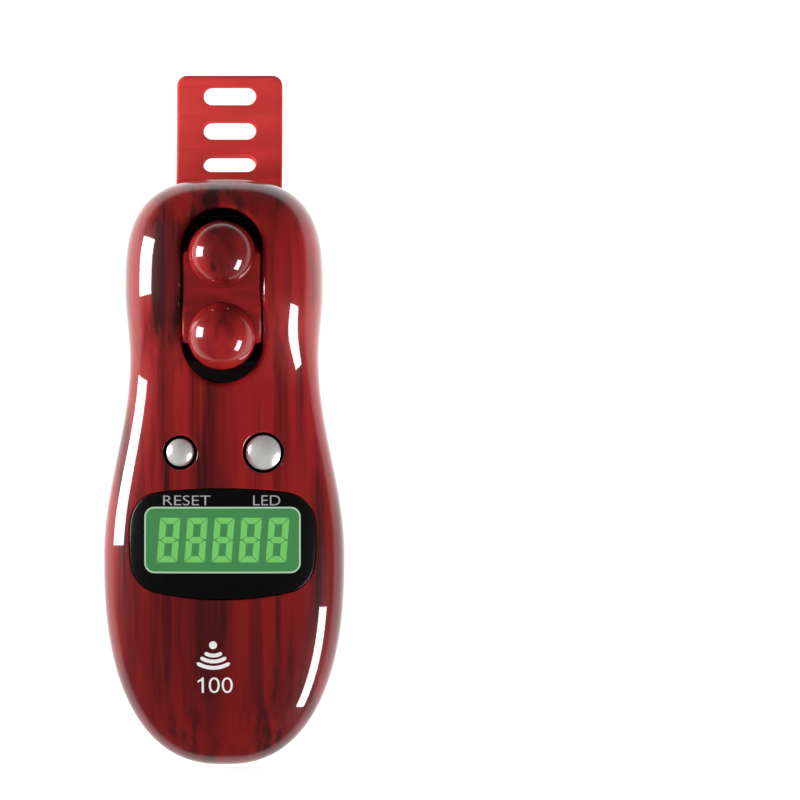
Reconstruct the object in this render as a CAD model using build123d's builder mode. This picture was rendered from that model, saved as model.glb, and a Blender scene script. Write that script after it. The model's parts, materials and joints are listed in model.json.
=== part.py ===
"""Digital tasbih counter worn on a finger: case, bead wheel, display, buttons, strap and inner works.

Millimetres. X runs across the case, Y from front to back and Z up. The origin is on the axis of
the finger loop. Places inside the case are written from the case itself: y from the parting plane,
positive to the rear, and z from the lowest point of the case.
"""
import os
from math import cos, degrees, pi, radians, sin, tan

from build123d import *

os.makedirs("parts", exist_ok=True)

# Case
CASE_LENGTH = 90.0
WAIST_WIDTH = 29.0
UPPER_WIDTH = 30.4
LOWER_FRONT = 8.9
NECK_FRONT = 8.1
UPPER_FRONT = 12.2
LOWER_REAR = 9.3
UPPER_REAR = 11.5
LOWER_Z = 32.0
REAR_RAMP_Z = 46.0
NECK_Z = 58.0
WAIST_Z = 62.5
UPPER_Z = 73.0
FRONT_FULLNESS = 2.7
REAR_FULLNESS = 3.4
LOWER_DOME_FULLNESS = 2.4
UPPER_DOME_FULLNESS = 2.9
UPPER_REAR_DOME_FULLNESS = 5.0
SECTION_POINTS = 16
WALL = 2.0
SEAM = 0.16
TONGUE = 1.0
TONGUE_DEPTH = 1.2
TONGUE_CLEARANCE = 0.12
FLAT_BACK_Y = 8.6
FLAT_TOP_Z = 45.0
FLAT_RUNOUT_ANGLE = 17.0

# Finger loop and saddle
FINGER_Y = 19.0
FINGER_Z = 72.0
SADDLE_RADIUS = 16.0
SADDLE_FLOOR_Y = 7.5
SADDLE_Z = 74.0
SADDLE_WALL = 1.2

# Bead wheel
WHEEL_Y = -6.4
WHEEL_Z = 72.0
BEAD_COUNT = 3
BEAD_DIAMETER = 10.4
BEAD_CIRCLE_RADIUS = 7.1
BEAD_SEAT_CLEARANCE = 0.03
DRUM_RADIUS = 8.0
DRUM_FLAT = 4.9
DRUM_WIDTH = 11.9
CAM_RADIUS = 2.7
CAM_WIDTH = 1.2
CAM_NOTCH_RADIUS = 0.5
SLOT_WIDTH = 12.3
SLOT_LENGTH = 26.6

# Wheel bearings
AXLE_DIAMETER = 2.0
AXLE_PRESS_CLEARANCE = 0.01
BUSH_DIAMETER = 4.0
BUSH_RUNNING_CLEARANCE = 0.05
BUSH_SEAT_CLEARANCE = 0.04
BEARING_GAP = 0.45
BEARING_WIDTH = 3.4
BEARING_HEIGHT = 13.0
AXLE_END_GAP = 0.4
CLAMP_THICKNESS = 1.2
CLAMP_SCREW_Z = 4.5

# Display
WINDOW_HEIGHT = 16.8
WINDOW_Z = 34.2
WINDOW_TOP_RISE = 1.1
WINDOW_BOTTOM_RISE = 1.9
WINDOW_SIDE_BULGE = 0.9
WINDOW_CORNER = 4.9
WINDOW_SEAT_Y = -6.0
WINDOW_CLEARANCE = 0.1
WINDOW_TAPE = 0.05
WINDOW_LEDGE = 1.3
WINDOW_LEDGE_THICKNESS = 1.0
WINDOW_COLLAR = 1.2
LCD_WIDTH = 24.6
LCD_WINDOW_MARGIN = 1.85
LCD_SIDE_ROOM = 6.2
LCD_HEIGHT = 11.4
LCD_Z = 34.7
LCD_FRONT_Y = -4.6
LCD_THICKNESS = 1.4
LCD_FRAME_WALL = 0.8
LCD_FRAME_CLEARANCE = 0.1
STRIP_HEIGHT = 0.9
STRIP_GAP = 0.1
LAMP_SIZE = 1.0
LAMP_HEIGHT = 2.4
LAMP_GAP = 0.15

# Main board
BOARD_FRONT_Y = -2.2
BOARD_THICKNESS = 1.2
BOARD_WIDTH = 17.6
BOARD_EDGE = 0.3
BOARD_LOW_Z = 7.6
BOARD_HIGH_Z = 57.0
BOARD_WIDE_LOW_Z = 25.0
BOARD_WIDE_HIGH_Z = 44.4
BOARD_CORNER = 2.0
BOARD_SCREW_LOW = (6.6, 10.4)
BOARD_SCREW_HIGH = (3.4, 54.2)
POST_RADIUS = 1.8
CHIP_SIZE = 7.0
CHIP_THICKNESS = 1.2
CHIP_Z = 45.6

# Buttons and switches
RESET_X = -6.45
LED_X = 6.2
BUTTON_Z = 48.1
RESET_DOME = 4.2
RESET_HOLE = 5.2
LED_DOME = 5.3
LED_HOLE = 6.2
BUTTON_PROUD = 0.45
BUTTON_CROWN = 0.9
BUTTON_COLLAR = 0.6
BUTTON_COLLAR_THICKNESS = 0.6
BUTTON_COLLAR_GAP = 0.05
BUTTON_TRAVEL = 0.5
SWITCH_SIZE = 3.6
SWITCH_HEIGHT = 1.5
PLUNGER_DIAMETER = 1.6
PLUNGER_INSET = 0.6
PLUNGER_CLEARANCE = 0.08

# Coin cell and battery door
CELL_DIAMETER = 20.0
CELL_THICKNESS = 3.2
CELL_FRONT_Y = 2.7
CELL_Z = 26.0
CELL_CLEARANCE = 0.15
CELL_RING_WALL = 1.8
CELL_CHAMFER = 0.3
CONTACT_THICKNESS = 0.3
CONTACT_WIDTH = 4.0
CONTACT_GAP = 0.05
CONTACT_REACH = 6.7
CONTACT_END_MARGIN = 0.8
CONTACT_SLOT_CLEARANCE = 0.3
DOOR_RIM = 1.5
DOOR_THICKNESS = 1.6
DOOR_CLEARANCE = 0.15
DOOR_SEAT_GAP = 0.05
DOOR_BED_WALL = 1.2
DOOR_TAB_WIDTH = 7.0
DOOR_SCREW_Z = 40.2

# Vibration motor
MOTOR_DIAMETER = 4.0
MOTOR_LENGTH = 8.0
MOTOR_Y = 2.6
MOTOR_Z = 10.4
MOTOR_LEFT_X = -7.0
SLEEVE_WALL = 0.5
SLEEVE_MARGIN = 1.0
MOTOR_SHAFT_DIAMETER = 0.8
MOTOR_SHAFT_LENGTH = 4.6
WEIGHT_RADIUS = 1.9
WEIGHT_HUB_DIAMETER = 1.6
WEIGHT_LENGTH = 3.0
WEIGHT_GAP = 0.8
CRADLE_WALL = 1.2
CRADLE_CLEARANCE = 0.08

# Screws
CASE_SCREW_LOW = (12.2, 15.0)
CASE_SCREW_HIGH = (11.7, 51.0)
CASE_BOSS_RADIUS = 2.2
CASE_SCREW_DIAMETER = 2.0
CASE_HEAD_DIAMETER = 3.4
CASE_HEAD_HEIGHT = 1.3
CASE_HEAD_SEAT_Y = 3.6
CASE_SCREW_LENGTH = 7.0
SMALL_SCREW_DIAMETER = 1.4
SMALL_HEAD_DIAMETER = 2.6
SMALL_HEAD_HEIGHT = 0.8
SMALL_SCREW_LENGTH = 2.6
SCREW_CLEARANCE = 0.1
THREAD_CLEARANCE = 0.02
DRIVE_SLOT_WIDTH = 0.5
DRIVE_SLOT_DEPTH = 0.4

# Strap
STRAP_WIDTH = 16.7
STRAP_THICKNESS = 1.8
PAD_THICKNESS = 1.4
PAD_GAP = 0.03
PAD_END_GAP = 0.25
PAD_HIGH_ANGLE = 50.0
PAD_LOW_ANGLE = 43.0
SLOT_PITCH = 5.55
STRAP_SLOT_WIDTH = 8.3
STRAP_SLOT_HEIGHT = 2.8
STRAP_TIP = 3.3
STRAP_TIP_CORNER = 1.6
LINK_GAP = 0.12
LINK_BEVEL_ANGLE = 21.0
LINK_HEADINGS = (27.0, 63.5, 80.0, 88.0, 90.0)
PLUG_TURNS = (-26.0, 24.0)
PLUG_DIAMETER = 3.0
PLUG_CLEARANCE = 0.05
RETAINER_DIAMETER = 4.6
RETAINER_THICKNESS = 0.8
RETAINER_GAP = 0.03

# Pegged half of the strap
PIN_Y = 9.0
PIN_Z = 56.2
PIN_DIAMETER = 1.5
PIN_LENGTH = 19.2
PIN_SEAT_CLEARANCE = 0.02
EYE_CLEARANCE = 0.05
EYE_WALL = 0.7
POCKET_HEIGHT = 4.2
POCKET_WALL = 1.2
POCKET_CLEARANCE = 0.3
BAND_STRAIGHT = 7.4
BAND_RADIUS = 12.4
BAND_SWEEP = 140.0
PEG_COUNT = 4
PEG_FIRST_ANGLE = 34.0
PEG_PITCH = 5.3
PEG_NECK = 2.1
PEG_HEAD = 3.6
PEG_WIDTH = 7.2
PEG_HEIGHT = 2.9
PEG_HEAD_HEIGHT = 1.1
PEG_HEAD_TAPER = 15.0

# Count leaf
LEAF_THICKNESS = 0.2
LEAF_WIDTH = 0.8
LEAF_FOOT = 3.2
LEAF_REST_GAP = 0.12
LEAF_TIP_LENGTH = 1.6

# Places worked out from the sizes
PARTING_Y = -FINGER_Y
BASE_Z = -FINGER_Z
REACH = CASE_LENGTH
LOWER_WIDTH = LCD_WIDTH + 2 * LCD_SIDE_ROOM
WINDOW_WIDTH = LCD_WIDTH + 2 * LCD_WINDOW_MARGIN
BOARD_WIDE = LCD_WIDTH + 2 * (LCD_FRAME_CLEARANCE + LCD_FRAME_WALL + BOARD_EDGE)
BOARD_REAR_Y = BOARD_FRONT_Y + BOARD_THICKNESS
SADDLE_Y = SADDLE_FLOOR_Y + SADDLE_RADIUS
BEARING_X = DRUM_WIDTH / 2 + CAM_WIDTH + BEARING_GAP + BEARING_WIDTH / 2
BEARING_REAR_Y = WHEEL_Y + BUSH_DIAMETER / 2
CELL_REAR_Y = CELL_FRONT_Y + CELL_THICKNESS
DOOR_SEAT_Y = FLAT_BACK_Y - DOOR_THICKNESS
DOOR_RADIUS = CELL_DIAMETER / 2 + CELL_CLEARANCE + DOOR_RIM
CASE_SCREWS = [(side * x, z) for x, z in (CASE_SCREW_LOW, CASE_SCREW_HIGH) for side in (-1, 1)]
BOARD_SCREWS = [(side * x, z) for x, z in (BOARD_SCREW_LOW, BOARD_SCREW_HIGH) for side in (-1, 1)]
BEARING_CENTRES = [(side * BEARING_X, WHEEL_Z) for side in (-1, 1)]
CLAMP_SCREWS = [(x, z + rise) for x, z in BEARING_CENTRES for rise in (-CLAMP_SCREW_Z, CLAMP_SCREW_Z)]


# Frame helpers
def facing(y):
    """Plane that looks to the front at depth y; its own x and y are the case's x and z."""
    return Plane(origin=(0, PARTING_Y + y, BASE_Z), x_dir=(1, 0, 0), z_dir=(0, -1, 0))


def beside(x):
    """Plane that looks to the right at x; its own x and y are the case's y and z."""
    return Plane(origin=(x, PARTING_Y, BASE_Z), x_dir=(0, 1, 0), z_dir=(1, 0, 0))


def level(z):
    """Plane that looks up at height z; its own x and y are the case's x and y."""
    return Plane(origin=(0, PARTING_Y, BASE_Z + z), x_dir=(1, 0, 0), z_dir=(0, 0, 1))


def place(x, y, z):
    """Point of the case in the object's frame."""
    return (x, PARTING_Y + y, BASE_Z + z)


# Case form
def ease(z, low_z, high_z, low, high):
    """Smooth step from low to high between two heights."""
    share = min(1.0, max(0.0, (z - low_z) / (high_z - low_z)))
    return low + (high - low) * (1 - cos(pi * share)) / 2


def dome(z, inset, upper_fullness):
    """Share of the full section that is left near the two rounded ends of the case."""
    if z < LOWER_Z:
        reach = (LOWER_Z - z) / (LOWER_Z - inset)
        return (1 - reach**LOWER_DOME_FULLNESS) ** (1 / LOWER_DOME_FULLNESS)
    reach = max(0.0, (z - UPPER_Z) / (CASE_LENGTH - inset - UPPER_Z))
    return (1 - reach**upper_fullness) ** (1 / upper_fullness)


def half_width(z):
    """Half the width of the case before its ends are rounded."""
    if z < WAIST_Z:
        return ease(z, LOWER_Z, WAIST_Z, LOWER_WIDTH, WAIST_WIDTH) / 2
    return ease(z, WAIST_Z, UPPER_Z, WAIST_WIDTH, UPPER_WIDTH) / 2


def front_depth(z):
    """Depth of the front of the case before its ends are rounded."""
    if z < NECK_Z:
        return ease(z, LOWER_Z, NECK_Z, LOWER_FRONT, NECK_FRONT)
    return ease(z, NECK_Z, UPPER_Z, NECK_FRONT, UPPER_FRONT)


def rear_depth(z):
    """Depth of the back of the case before its ends are rounded."""
    return ease(z, REAR_RAMP_Z, NECK_Z, LOWER_REAR, UPPER_REAR)


def section_point(z, turn, inset):
    """Point of the case's section at one height, with turn as the angle round it."""
    across = cos(turn)
    along = sin(turn)
    if along > 0:
        fullness = REAR_FULLNESS
        depth = (rear_depth(z) - inset) * dome(z, inset, UPPER_REAR_DOME_FULLNESS)
    else:
        fullness = FRONT_FULLNESS
        depth = (front_depth(z) - inset) * dome(z, inset, UPPER_DOME_FULLNESS)
    width = (half_width(z) - inset) * dome(z, inset, UPPER_DOME_FULLNESS)
    x = width * abs(across) ** (2 / fullness)
    y = depth * abs(along) ** (2 / fullness)
    return (x if across > 0 else -x, y if along > 0 else -y)


def front_at(x, z, inset):
    """Depth of the case's front at one point between its rounded ends, drawn in by inset."""
    share = abs(x) / (half_width(z) - inset)
    return -(front_depth(z) - inset) * (1 - share**FRONT_FULLNESS) ** (1 / FRONT_FULLNESS)


def station_heights(inset):
    """Heights of the sections, close together where the ends are rounded."""
    low_end = LOWER_Z - inset
    high_end = CASE_LENGTH - inset - UPPER_Z
    lower = [LOWER_Z - low_end * reach for reach in (0.998, 0.97, 0.88, 0.68, 0.36)]
    middle = [LOWER_Z + (WAIST_Z - LOWER_Z) * share for share in (0.0, 0.3, 0.6, 0.82, 1.0)]
    head = [WAIST_Z + (UPPER_Z - WAIST_Z) * share for share in (0.5, 1.0)]
    upper = [UPPER_Z + high_end * reach for reach in (0.36, 0.66, 0.86, 0.96, 0.998)]
    return lower + middle + head + upper


def case_form(inset):
    """Solid of the whole case, drawn in by inset all round."""
    turns = [pi / 4 + 2 * pi * step / SECTION_POINTS for step in range(SECTION_POINTS)]
    with BuildPart() as form:
        for z in station_heights(inset):
            with BuildSketch(level(z)):
                with BuildLine():
                    Spline([section_point(z, turn, inset) for turn in turns], periodic=True)
                make_face()
        loft()
    return form.part


outer = case_form(0.0)
cavity = case_form(WALL)
tongue_form = case_form(WALL - TONGUE)
groove_form = case_form(WALL - TONGUE - TONGUE_CLEARANCE)


def save(builder, name):
    """Label a finished piece and write it to its own file."""
    builder.part.label = name
    export_step(builder.part, f"parts/{name}.step")


def screw_group(places, seat_y, diameter, length, head_diameter, head_height):
    """Slotted pan-head screws with their heads to the rear of seat_y."""
    with BuildPart() as screws:
        with BuildSketch(facing(seat_y)):
            with Locations(*places):
                Circle(diameter / 2)
        extrude(amount=length)
        with BuildSketch(facing(seat_y)):
            with Locations(*places):
                Circle(head_diameter / 2)
        extrude(amount=-head_height)
        with BuildSketch(facing(seat_y + head_height)):
            with Locations(*places):
                Rectangle(head_diameter, DRIVE_SLOT_WIDTH)
        extrude(amount=DRIVE_SLOT_DEPTH, mode=Mode.SUBTRACT)
    return screws


def window_face(y, grow):
    """Window outline at depth y, grown all round: arched top, fuller bottom and bowed sides."""
    side = WINDOW_WIDTH / 2 - WINDOW_SIDE_BULGE + grow
    top = WINDOW_Z + WINDOW_HEIGHT / 2 - WINDOW_TOP_RISE + grow
    bottom = WINDOW_Z - WINDOW_HEIGHT / 2 + WINDOW_BOTTOM_RISE - grow
    middle = (top + bottom) / 2
    with BuildSketch(facing(y)) as window:
        with BuildLine():
            ThreePointArc((-side, top), (0, top + WINDOW_TOP_RISE), (side, top))
            ThreePointArc((side, top), (side + WINDOW_SIDE_BULGE, middle), (side, bottom))
            ThreePointArc((side, bottom), (0, bottom - WINDOW_BOTTOM_RISE), (-side, bottom))
            ThreePointArc((-side, bottom), (-side - WINDOW_SIDE_BULGE, middle), (-side, top))
        make_face()
        fillet(window.vertices(), WINDOW_CORNER + grow)
    return window.sketch


# Front shell
with BuildPart() as front_bosses:
    with BuildSketch(facing(BOARD_FRONT_Y)):
        with Locations(*BOARD_SCREWS):
            Circle(POST_RADIUS)
    extrude(amount=REACH)
    with BuildSketch(facing(-SEAM / 2)):
        with Locations(*CASE_SCREWS):
            Circle(CASE_BOSS_RADIUS)
    extrude(amount=REACH)
    with BuildSketch(facing(BEARING_REAR_Y)):
        with Locations(*BEARING_CENTRES):
            Rectangle(BEARING_WIDTH, BEARING_HEIGHT)
    extrude(amount=REACH)
    extrude(to_extrude=window_face(WINDOW_SEAT_Y + WINDOW_LEDGE_THICKNESS, WINDOW_COLLAR), amount=REACH)
    add(tongue_form, mode=Mode.INTERSECT)

with BuildPart() as tongue:
    with BuildSketch(facing(TONGUE_DEPTH)):
        with Locations((0, CASE_LENGTH / 2)):
            Rectangle(REACH, 2 * CASE_LENGTH)
    extrude(amount=TONGUE_DEPTH + SEAM + TONGUE)
    add(tongue_form, mode=Mode.INTERSECT)
    add(cavity, mode=Mode.SUBTRACT)

with BuildPart() as front_shell:
    add(outer)
    add(cavity, mode=Mode.SUBTRACT)
    split(bisect_by=facing(-SEAM / 2), keep=Keep.TOP)
    add(front_bosses.part)
    add(tongue.part)
    with BuildSketch(facing(0)):
        with Locations((0, WHEEL_Z)):
            SlotOverall(SLOT_LENGTH, SLOT_WIDTH, rotation=90)
    extrude(amount=REACH, mode=Mode.SUBTRACT)
    extrude(to_extrude=window_face(WINDOW_SEAT_Y, WINDOW_CLEARANCE), amount=REACH, mode=Mode.SUBTRACT)
    extrude(to_extrude=window_face(0, -WINDOW_LEDGE), amount=REACH, mode=Mode.SUBTRACT)
    with BuildSketch(facing(0)):
        with Locations((RESET_X, BUTTON_Z)):
            Circle(RESET_HOLE / 2)
        with Locations((LED_X, BUTTON_Z)):
            Circle(LED_HOLE / 2)
    extrude(amount=REACH, mode=Mode.SUBTRACT)
    bush_seat = BUSH_DIAMETER / 2 + BUSH_SEAT_CLEARANCE
    with BuildSketch(beside(0)):
        with Locations((WHEEL_Y, WHEEL_Z)):
            Circle(bush_seat)
            Rectangle(BUSH_DIAMETER, 2 * bush_seat, align=(Align.MIN, Align.CENTER))
    extrude(amount=BEARING_X + BEARING_WIDTH / 2, both=True, mode=Mode.SUBTRACT)
    with BuildSketch(facing(BOARD_FRONT_Y)):
        with Locations(*BOARD_SCREWS):
            Circle(SMALL_SCREW_DIAMETER / 2 + THREAD_CLEARANCE)
    extrude(amount=SMALL_SCREW_LENGTH, mode=Mode.SUBTRACT)
    with BuildSketch(facing(BEARING_REAR_Y)):
        with Locations(*CLAMP_SCREWS):
            Circle(SMALL_SCREW_DIAMETER / 2 + THREAD_CLEARANCE)
    extrude(amount=SMALL_SCREW_LENGTH, mode=Mode.SUBTRACT)
    with BuildSketch(facing(0)):
        with Locations(*CASE_SCREWS):
            Circle(CASE_SCREW_DIAMETER / 2 + THREAD_CLEARANCE)
    extrude(amount=CASE_SCREW_LENGTH - CASE_HEAD_SEAT_Y + SCREW_CLEARANCE, mode=Mode.SUBTRACT)
save(front_shell, "front_shell")


# Rear shell
def door_outline(grow):
    """Battery door outline on the seat of the door: a disc with a rounded tab for its screw."""
    with BuildSketch(facing(DOOR_SEAT_Y)) as door:
        with Locations((0, CELL_Z)):
            Circle(DOOR_RADIUS + grow)
            Rectangle(DOOR_TAB_WIDTH + 2 * grow, DOOR_SCREW_Z - CELL_Z, align=(Align.CENTER, Align.MIN))
        with Locations((0, DOOR_SCREW_Z)):
            Circle(DOOR_TAB_WIDTH / 2 + grow)
    return door.sketch


pocket_half_width = STRAP_WIDTH / 2 + POCKET_CLEARANCE
pocket_floor_y = PIN_Y - PIN_DIAMETER / 2 - EYE_CLEARANCE - EYE_WALL - POCKET_CLEARANCE
sleeve_radius = MOTOR_DIAMETER / 2 + SLEEVE_WALL

with BuildPart() as rear_bosses:
    with BuildSketch(facing(SEAM / 2)):
        with Locations(*CASE_SCREWS):
            Circle(CASE_BOSS_RADIUS)
    extrude(amount=-REACH)
    with BuildSketch(facing(CELL_FRONT_Y)):
        with Locations((0, CELL_Z)):
            Circle(CELL_DIAMETER / 2 + CELL_CLEARANCE + CELL_RING_WALL)
        with Locations((0, DOOR_SCREW_Z)):
            Circle(CASE_BOSS_RADIUS)
    extrude(amount=-REACH)
    extrude(to_extrude=door_outline(DOOR_BED_WALL), amount=DOOR_BED_WALL, both=True)
    with BuildSketch(facing(MOTOR_Y)):
        with Locations((MOTOR_LEFT_X + MOTOR_LENGTH / 2, MOTOR_Z)):
            Rectangle(MOTOR_LENGTH - 2 * SLEEVE_MARGIN, 2 * (sleeve_radius + CRADLE_WALL))
    extrude(amount=-REACH)
    with BuildSketch(facing(pocket_floor_y - POCKET_WALL)):
        with Locations((0, PIN_Z)):
            Rectangle(2 * (pocket_half_width + POCKET_WALL), POCKET_HEIGHT + 2 * POCKET_WALL)
    extrude(amount=-REACH)
    with BuildSketch(beside(0)):
        with Locations((SADDLE_Y, SADDLE_Z)):
            Circle(SADDLE_RADIUS + SADDLE_WALL)
    extrude(amount=REACH, both=True)
    add(tongue_form, mode=Mode.INTERSECT)

with BuildPart() as groove:
    with BuildSketch(facing(TONGUE_DEPTH + TONGUE_CLEARANCE)):
        with Locations((0, CASE_LENGTH / 2)):
            Rectangle(REACH, 2 * CASE_LENGTH)
    extrude(amount=TONGUE_DEPTH + TONGUE_CLEARANCE + SEAM)
    add(groove_form, mode=Mode.INTERSECT)
    add(cavity, mode=Mode.SUBTRACT)


def radial(turn, radius):
    """Plane on a circle about the saddle's axis, looking away from it into the case."""
    way = (0, -cos(radians(turn)), sin(radians(turn)))
    centre = place(0, SADDLE_Y, SADDLE_Z)
    return Plane(origin=Vector(*centre) + Vector(*way) * radius, x_dir=(1, 0, 0), z_dir=way)


with BuildPart() as rear_shell:
    add(outer)
    add(cavity, mode=Mode.SUBTRACT)
    split(bisect_by=facing(SEAM / 2), keep=Keep.BOTTOM)
    add(rear_bosses.part)
    with BuildSketch(beside(0)):
        with Locations((SADDLE_Y, SADDLE_Z)):
            Circle(SADDLE_RADIUS)
    extrude(amount=REACH, both=True, mode=Mode.SUBTRACT)
    runout = CASE_LENGTH * sin(radians(FLAT_RUNOUT_ANGLE))
    with BuildSketch(beside(0)):
        with BuildLine():
            Polyline(
                (FLAT_BACK_Y, -LOWER_Z),
                (FLAT_BACK_Y, FLAT_TOP_Z),
                (FLAT_BACK_Y + runout, FLAT_TOP_Z + CASE_LENGTH * cos(radians(FLAT_RUNOUT_ANGLE))),
                (FLAT_BACK_Y + CASE_LENGTH, -LOWER_Z),
                close=True,
            )
        make_face()
    extrude(amount=REACH, both=True, mode=Mode.SUBTRACT)
    add(groove.part, mode=Mode.SUBTRACT)
    extrude(to_extrude=door_outline(DOOR_CLEARANCE), amount=-REACH, mode=Mode.SUBTRACT)
    with BuildSketch(facing(CELL_FRONT_Y)):
        with Locations((0, CELL_Z)):
            Circle(CELL_DIAMETER / 2 + CELL_CLEARANCE)
    extrude(amount=-REACH, mode=Mode.SUBTRACT)
    with BuildSketch(facing(CELL_FRONT_Y)):
        with Locations((0, CELL_Z - CELL_DIAMETER / 2 - CELL_RING_WALL / 2)):
            Rectangle(CONTACT_WIDTH + 2 * CONTACT_SLOT_CLEARANCE, CELL_RING_WALL + 2 * CONTACT_SLOT_CLEARANCE)
    extrude(amount=-CELL_THICKNESS, mode=Mode.SUBTRACT)
    with BuildSketch(facing(CELL_FRONT_Y)):
        with Locations((0, DOOR_SCREW_Z)):
            Circle(CASE_SCREW_DIAMETER / 2 + THREAD_CLEARANCE)
    extrude(amount=-REACH, mode=Mode.SUBTRACT)
    with BuildSketch(beside(0)):
        with Locations((MOTOR_Y, MOTOR_Z)):
            Circle(sleeve_radius + CRADLE_CLEARANCE)
    extrude(amount=MOTOR_LENGTH, both=True, mode=Mode.SUBTRACT)
    with BuildSketch(facing(pocket_floor_y)):
        with Locations((0, PIN_Z)):
            Rectangle(2 * pocket_half_width, POCKET_HEIGHT)
    extrude(amount=-REACH, mode=Mode.SUBTRACT)
    with BuildSketch(beside(0)):
        with Locations((PIN_Y, PIN_Z)):
            Circle(PIN_DIAMETER / 2 + PIN_SEAT_CLEARANCE)
    extrude(amount=PIN_LENGTH / 2, both=True, mode=Mode.SUBTRACT)
    with BuildSketch(facing(0)):
        with Locations(*CASE_SCREWS):
            Circle(CASE_SCREW_DIAMETER / 2 + SCREW_CLEARANCE)
    extrude(amount=-REACH, mode=Mode.SUBTRACT)
    with BuildSketch(facing(CASE_HEAD_SEAT_Y)):
        with Locations(*CASE_SCREWS):
            Circle(CASE_HEAD_DIAMETER / 2 + SCREW_CLEARANCE)
    extrude(amount=-REACH, mode=Mode.SUBTRACT)
    for turn in PLUG_TURNS:
        with BuildSketch(radial(turn, SADDLE_RADIUS - PAD_THICKNESS)):
            Circle(PLUG_DIAMETER / 2 + PLUG_CLEARANCE)
        extrude(amount=PAD_THICKNESS + 2 * SADDLE_WALL, mode=Mode.SUBTRACT)
save(rear_shell, "rear_shell")

# Display
with BuildPart() as display_window:
    extrude(to_extrude=window_face(WINDOW_SEAT_Y - WINDOW_TAPE, 0), amount=REACH)
    add(outer, mode=Mode.INTERSECT)
save(display_window, "display_window")

lcd_rear_y = LCD_FRONT_Y + LCD_THICKNESS
with BuildPart() as lcd_glass:
    with BuildSketch(facing(lcd_rear_y)):
        with Locations((0, LCD_Z)):
            Rectangle(LCD_WIDTH, LCD_HEIGHT)
    extrude(amount=LCD_THICKNESS)
save(lcd_glass, "lcd_glass")

frame_gap = 2 * LCD_FRAME_CLEARANCE
with BuildPart() as lcd_frame:
    with BuildSketch(facing(BOARD_FRONT_Y)):
        with Locations((0, LCD_Z)):
            Rectangle(LCD_WIDTH + frame_gap + 2 * LCD_FRAME_WALL, LCD_HEIGHT + frame_gap + 2 * LCD_FRAME_WALL)
            Rectangle(LCD_WIDTH + frame_gap, LCD_HEIGHT + frame_gap, mode=Mode.SUBTRACT)
    extrude(amount=BOARD_FRONT_Y - LCD_FRONT_Y)
save(lcd_frame, "lcd_frame")

diffuser_width = LCD_WIDTH - 2 * (LAMP_SIZE + 2 * LAMP_GAP)
diffuser_height = LCD_HEIGHT - 2 * (STRIP_HEIGHT + STRIP_GAP)
with BuildPart() as light_diffuser:
    with BuildSketch(facing(BOARD_FRONT_Y)):
        with Locations((0, LCD_Z)):
            Rectangle(diffuser_width, diffuser_height)
    extrude(amount=BOARD_FRONT_Y - lcd_rear_y)
save(light_diffuser, "light_diffuser")

lamp_x = LCD_WIDTH / 2 - LAMP_GAP - LAMP_SIZE / 2
with BuildPart() as backlight_lamps:
    with BuildSketch(facing(BOARD_FRONT_Y)):
        with Locations((-lamp_x, LCD_Z), (lamp_x, LCD_Z)):
            Rectangle(LAMP_SIZE, LAMP_HEIGHT)
    extrude(amount=BOARD_FRONT_Y - lcd_rear_y - LAMP_GAP)
save(backlight_lamps, "backlight_lamps")

strip_z = LCD_HEIGHT / 2 - STRIP_HEIGHT / 2
with BuildPart() as connector_strips:
    with BuildSketch(facing(BOARD_FRONT_Y)):
        with Locations((0, LCD_Z - strip_z), (0, LCD_Z + strip_z)):
            Rectangle(diffuser_width, STRIP_HEIGHT)
    extrude(amount=BOARD_FRONT_Y - lcd_rear_y)
save(connector_strips, "connector_strips")

# Main board
with BuildPart() as main_board:
    with BuildSketch(facing(BOARD_REAR_Y)):
        with Locations((0, (BOARD_LOW_Z + BOARD_HIGH_Z) / 2)):
            RectangleRounded(BOARD_WIDTH, BOARD_HIGH_Z - BOARD_LOW_Z, BOARD_CORNER)
        with Locations((0, (BOARD_WIDE_LOW_Z + BOARD_WIDE_HIGH_Z) / 2)):
            RectangleRounded(BOARD_WIDE, BOARD_WIDE_HIGH_Z - BOARD_WIDE_LOW_Z, BOARD_CORNER)
        with Locations(*BOARD_SCREWS):
            Circle(SMALL_SCREW_DIAMETER / 2 + SCREW_CLEARANCE, mode=Mode.SUBTRACT)
    extrude(amount=BOARD_THICKNESS)
save(main_board, "main_board")

with BuildPart() as controller_chip:
    with BuildSketch(facing(BOARD_REAR_Y)):
        with Locations((0, CHIP_Z)):
            Rectangle(CHIP_SIZE, CHIP_SIZE)
    extrude(amount=-CHIP_THICKNESS)
save(controller_chip, "controller_chip")

save(
    screw_group(
        BOARD_SCREWS,
        BOARD_REAR_Y,
        SMALL_SCREW_DIAMETER,
        BOARD_THICKNESS + SMALL_SCREW_LENGTH - SCREW_CLEARANCE,
        SMALL_HEAD_DIAMETER,
        SMALL_HEAD_HEIGHT,
    ),
    "board_screws",
)


# Buttons and switches
def push_switch(name, x):
    """Square switch body on the board, open at the front for its plunger."""
    front_y = BOARD_FRONT_Y - SWITCH_HEIGHT
    with BuildPart() as body:
        with BuildSketch(facing(BOARD_FRONT_Y)):
            with Locations((x, BUTTON_Z)):
                Rectangle(SWITCH_SIZE, SWITCH_SIZE)
        extrude(amount=SWITCH_HEIGHT)
        with BuildSketch(facing(front_y)):
            with Locations((x, BUTTON_Z)):
                Circle(PLUNGER_DIAMETER / 2 + PLUNGER_CLEARANCE)
        extrude(amount=-(PLUNGER_INSET + BUTTON_TRAVEL + SCREW_CLEARANCE), mode=Mode.SUBTRACT)
    save(body, f"{name}_switch")


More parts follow.
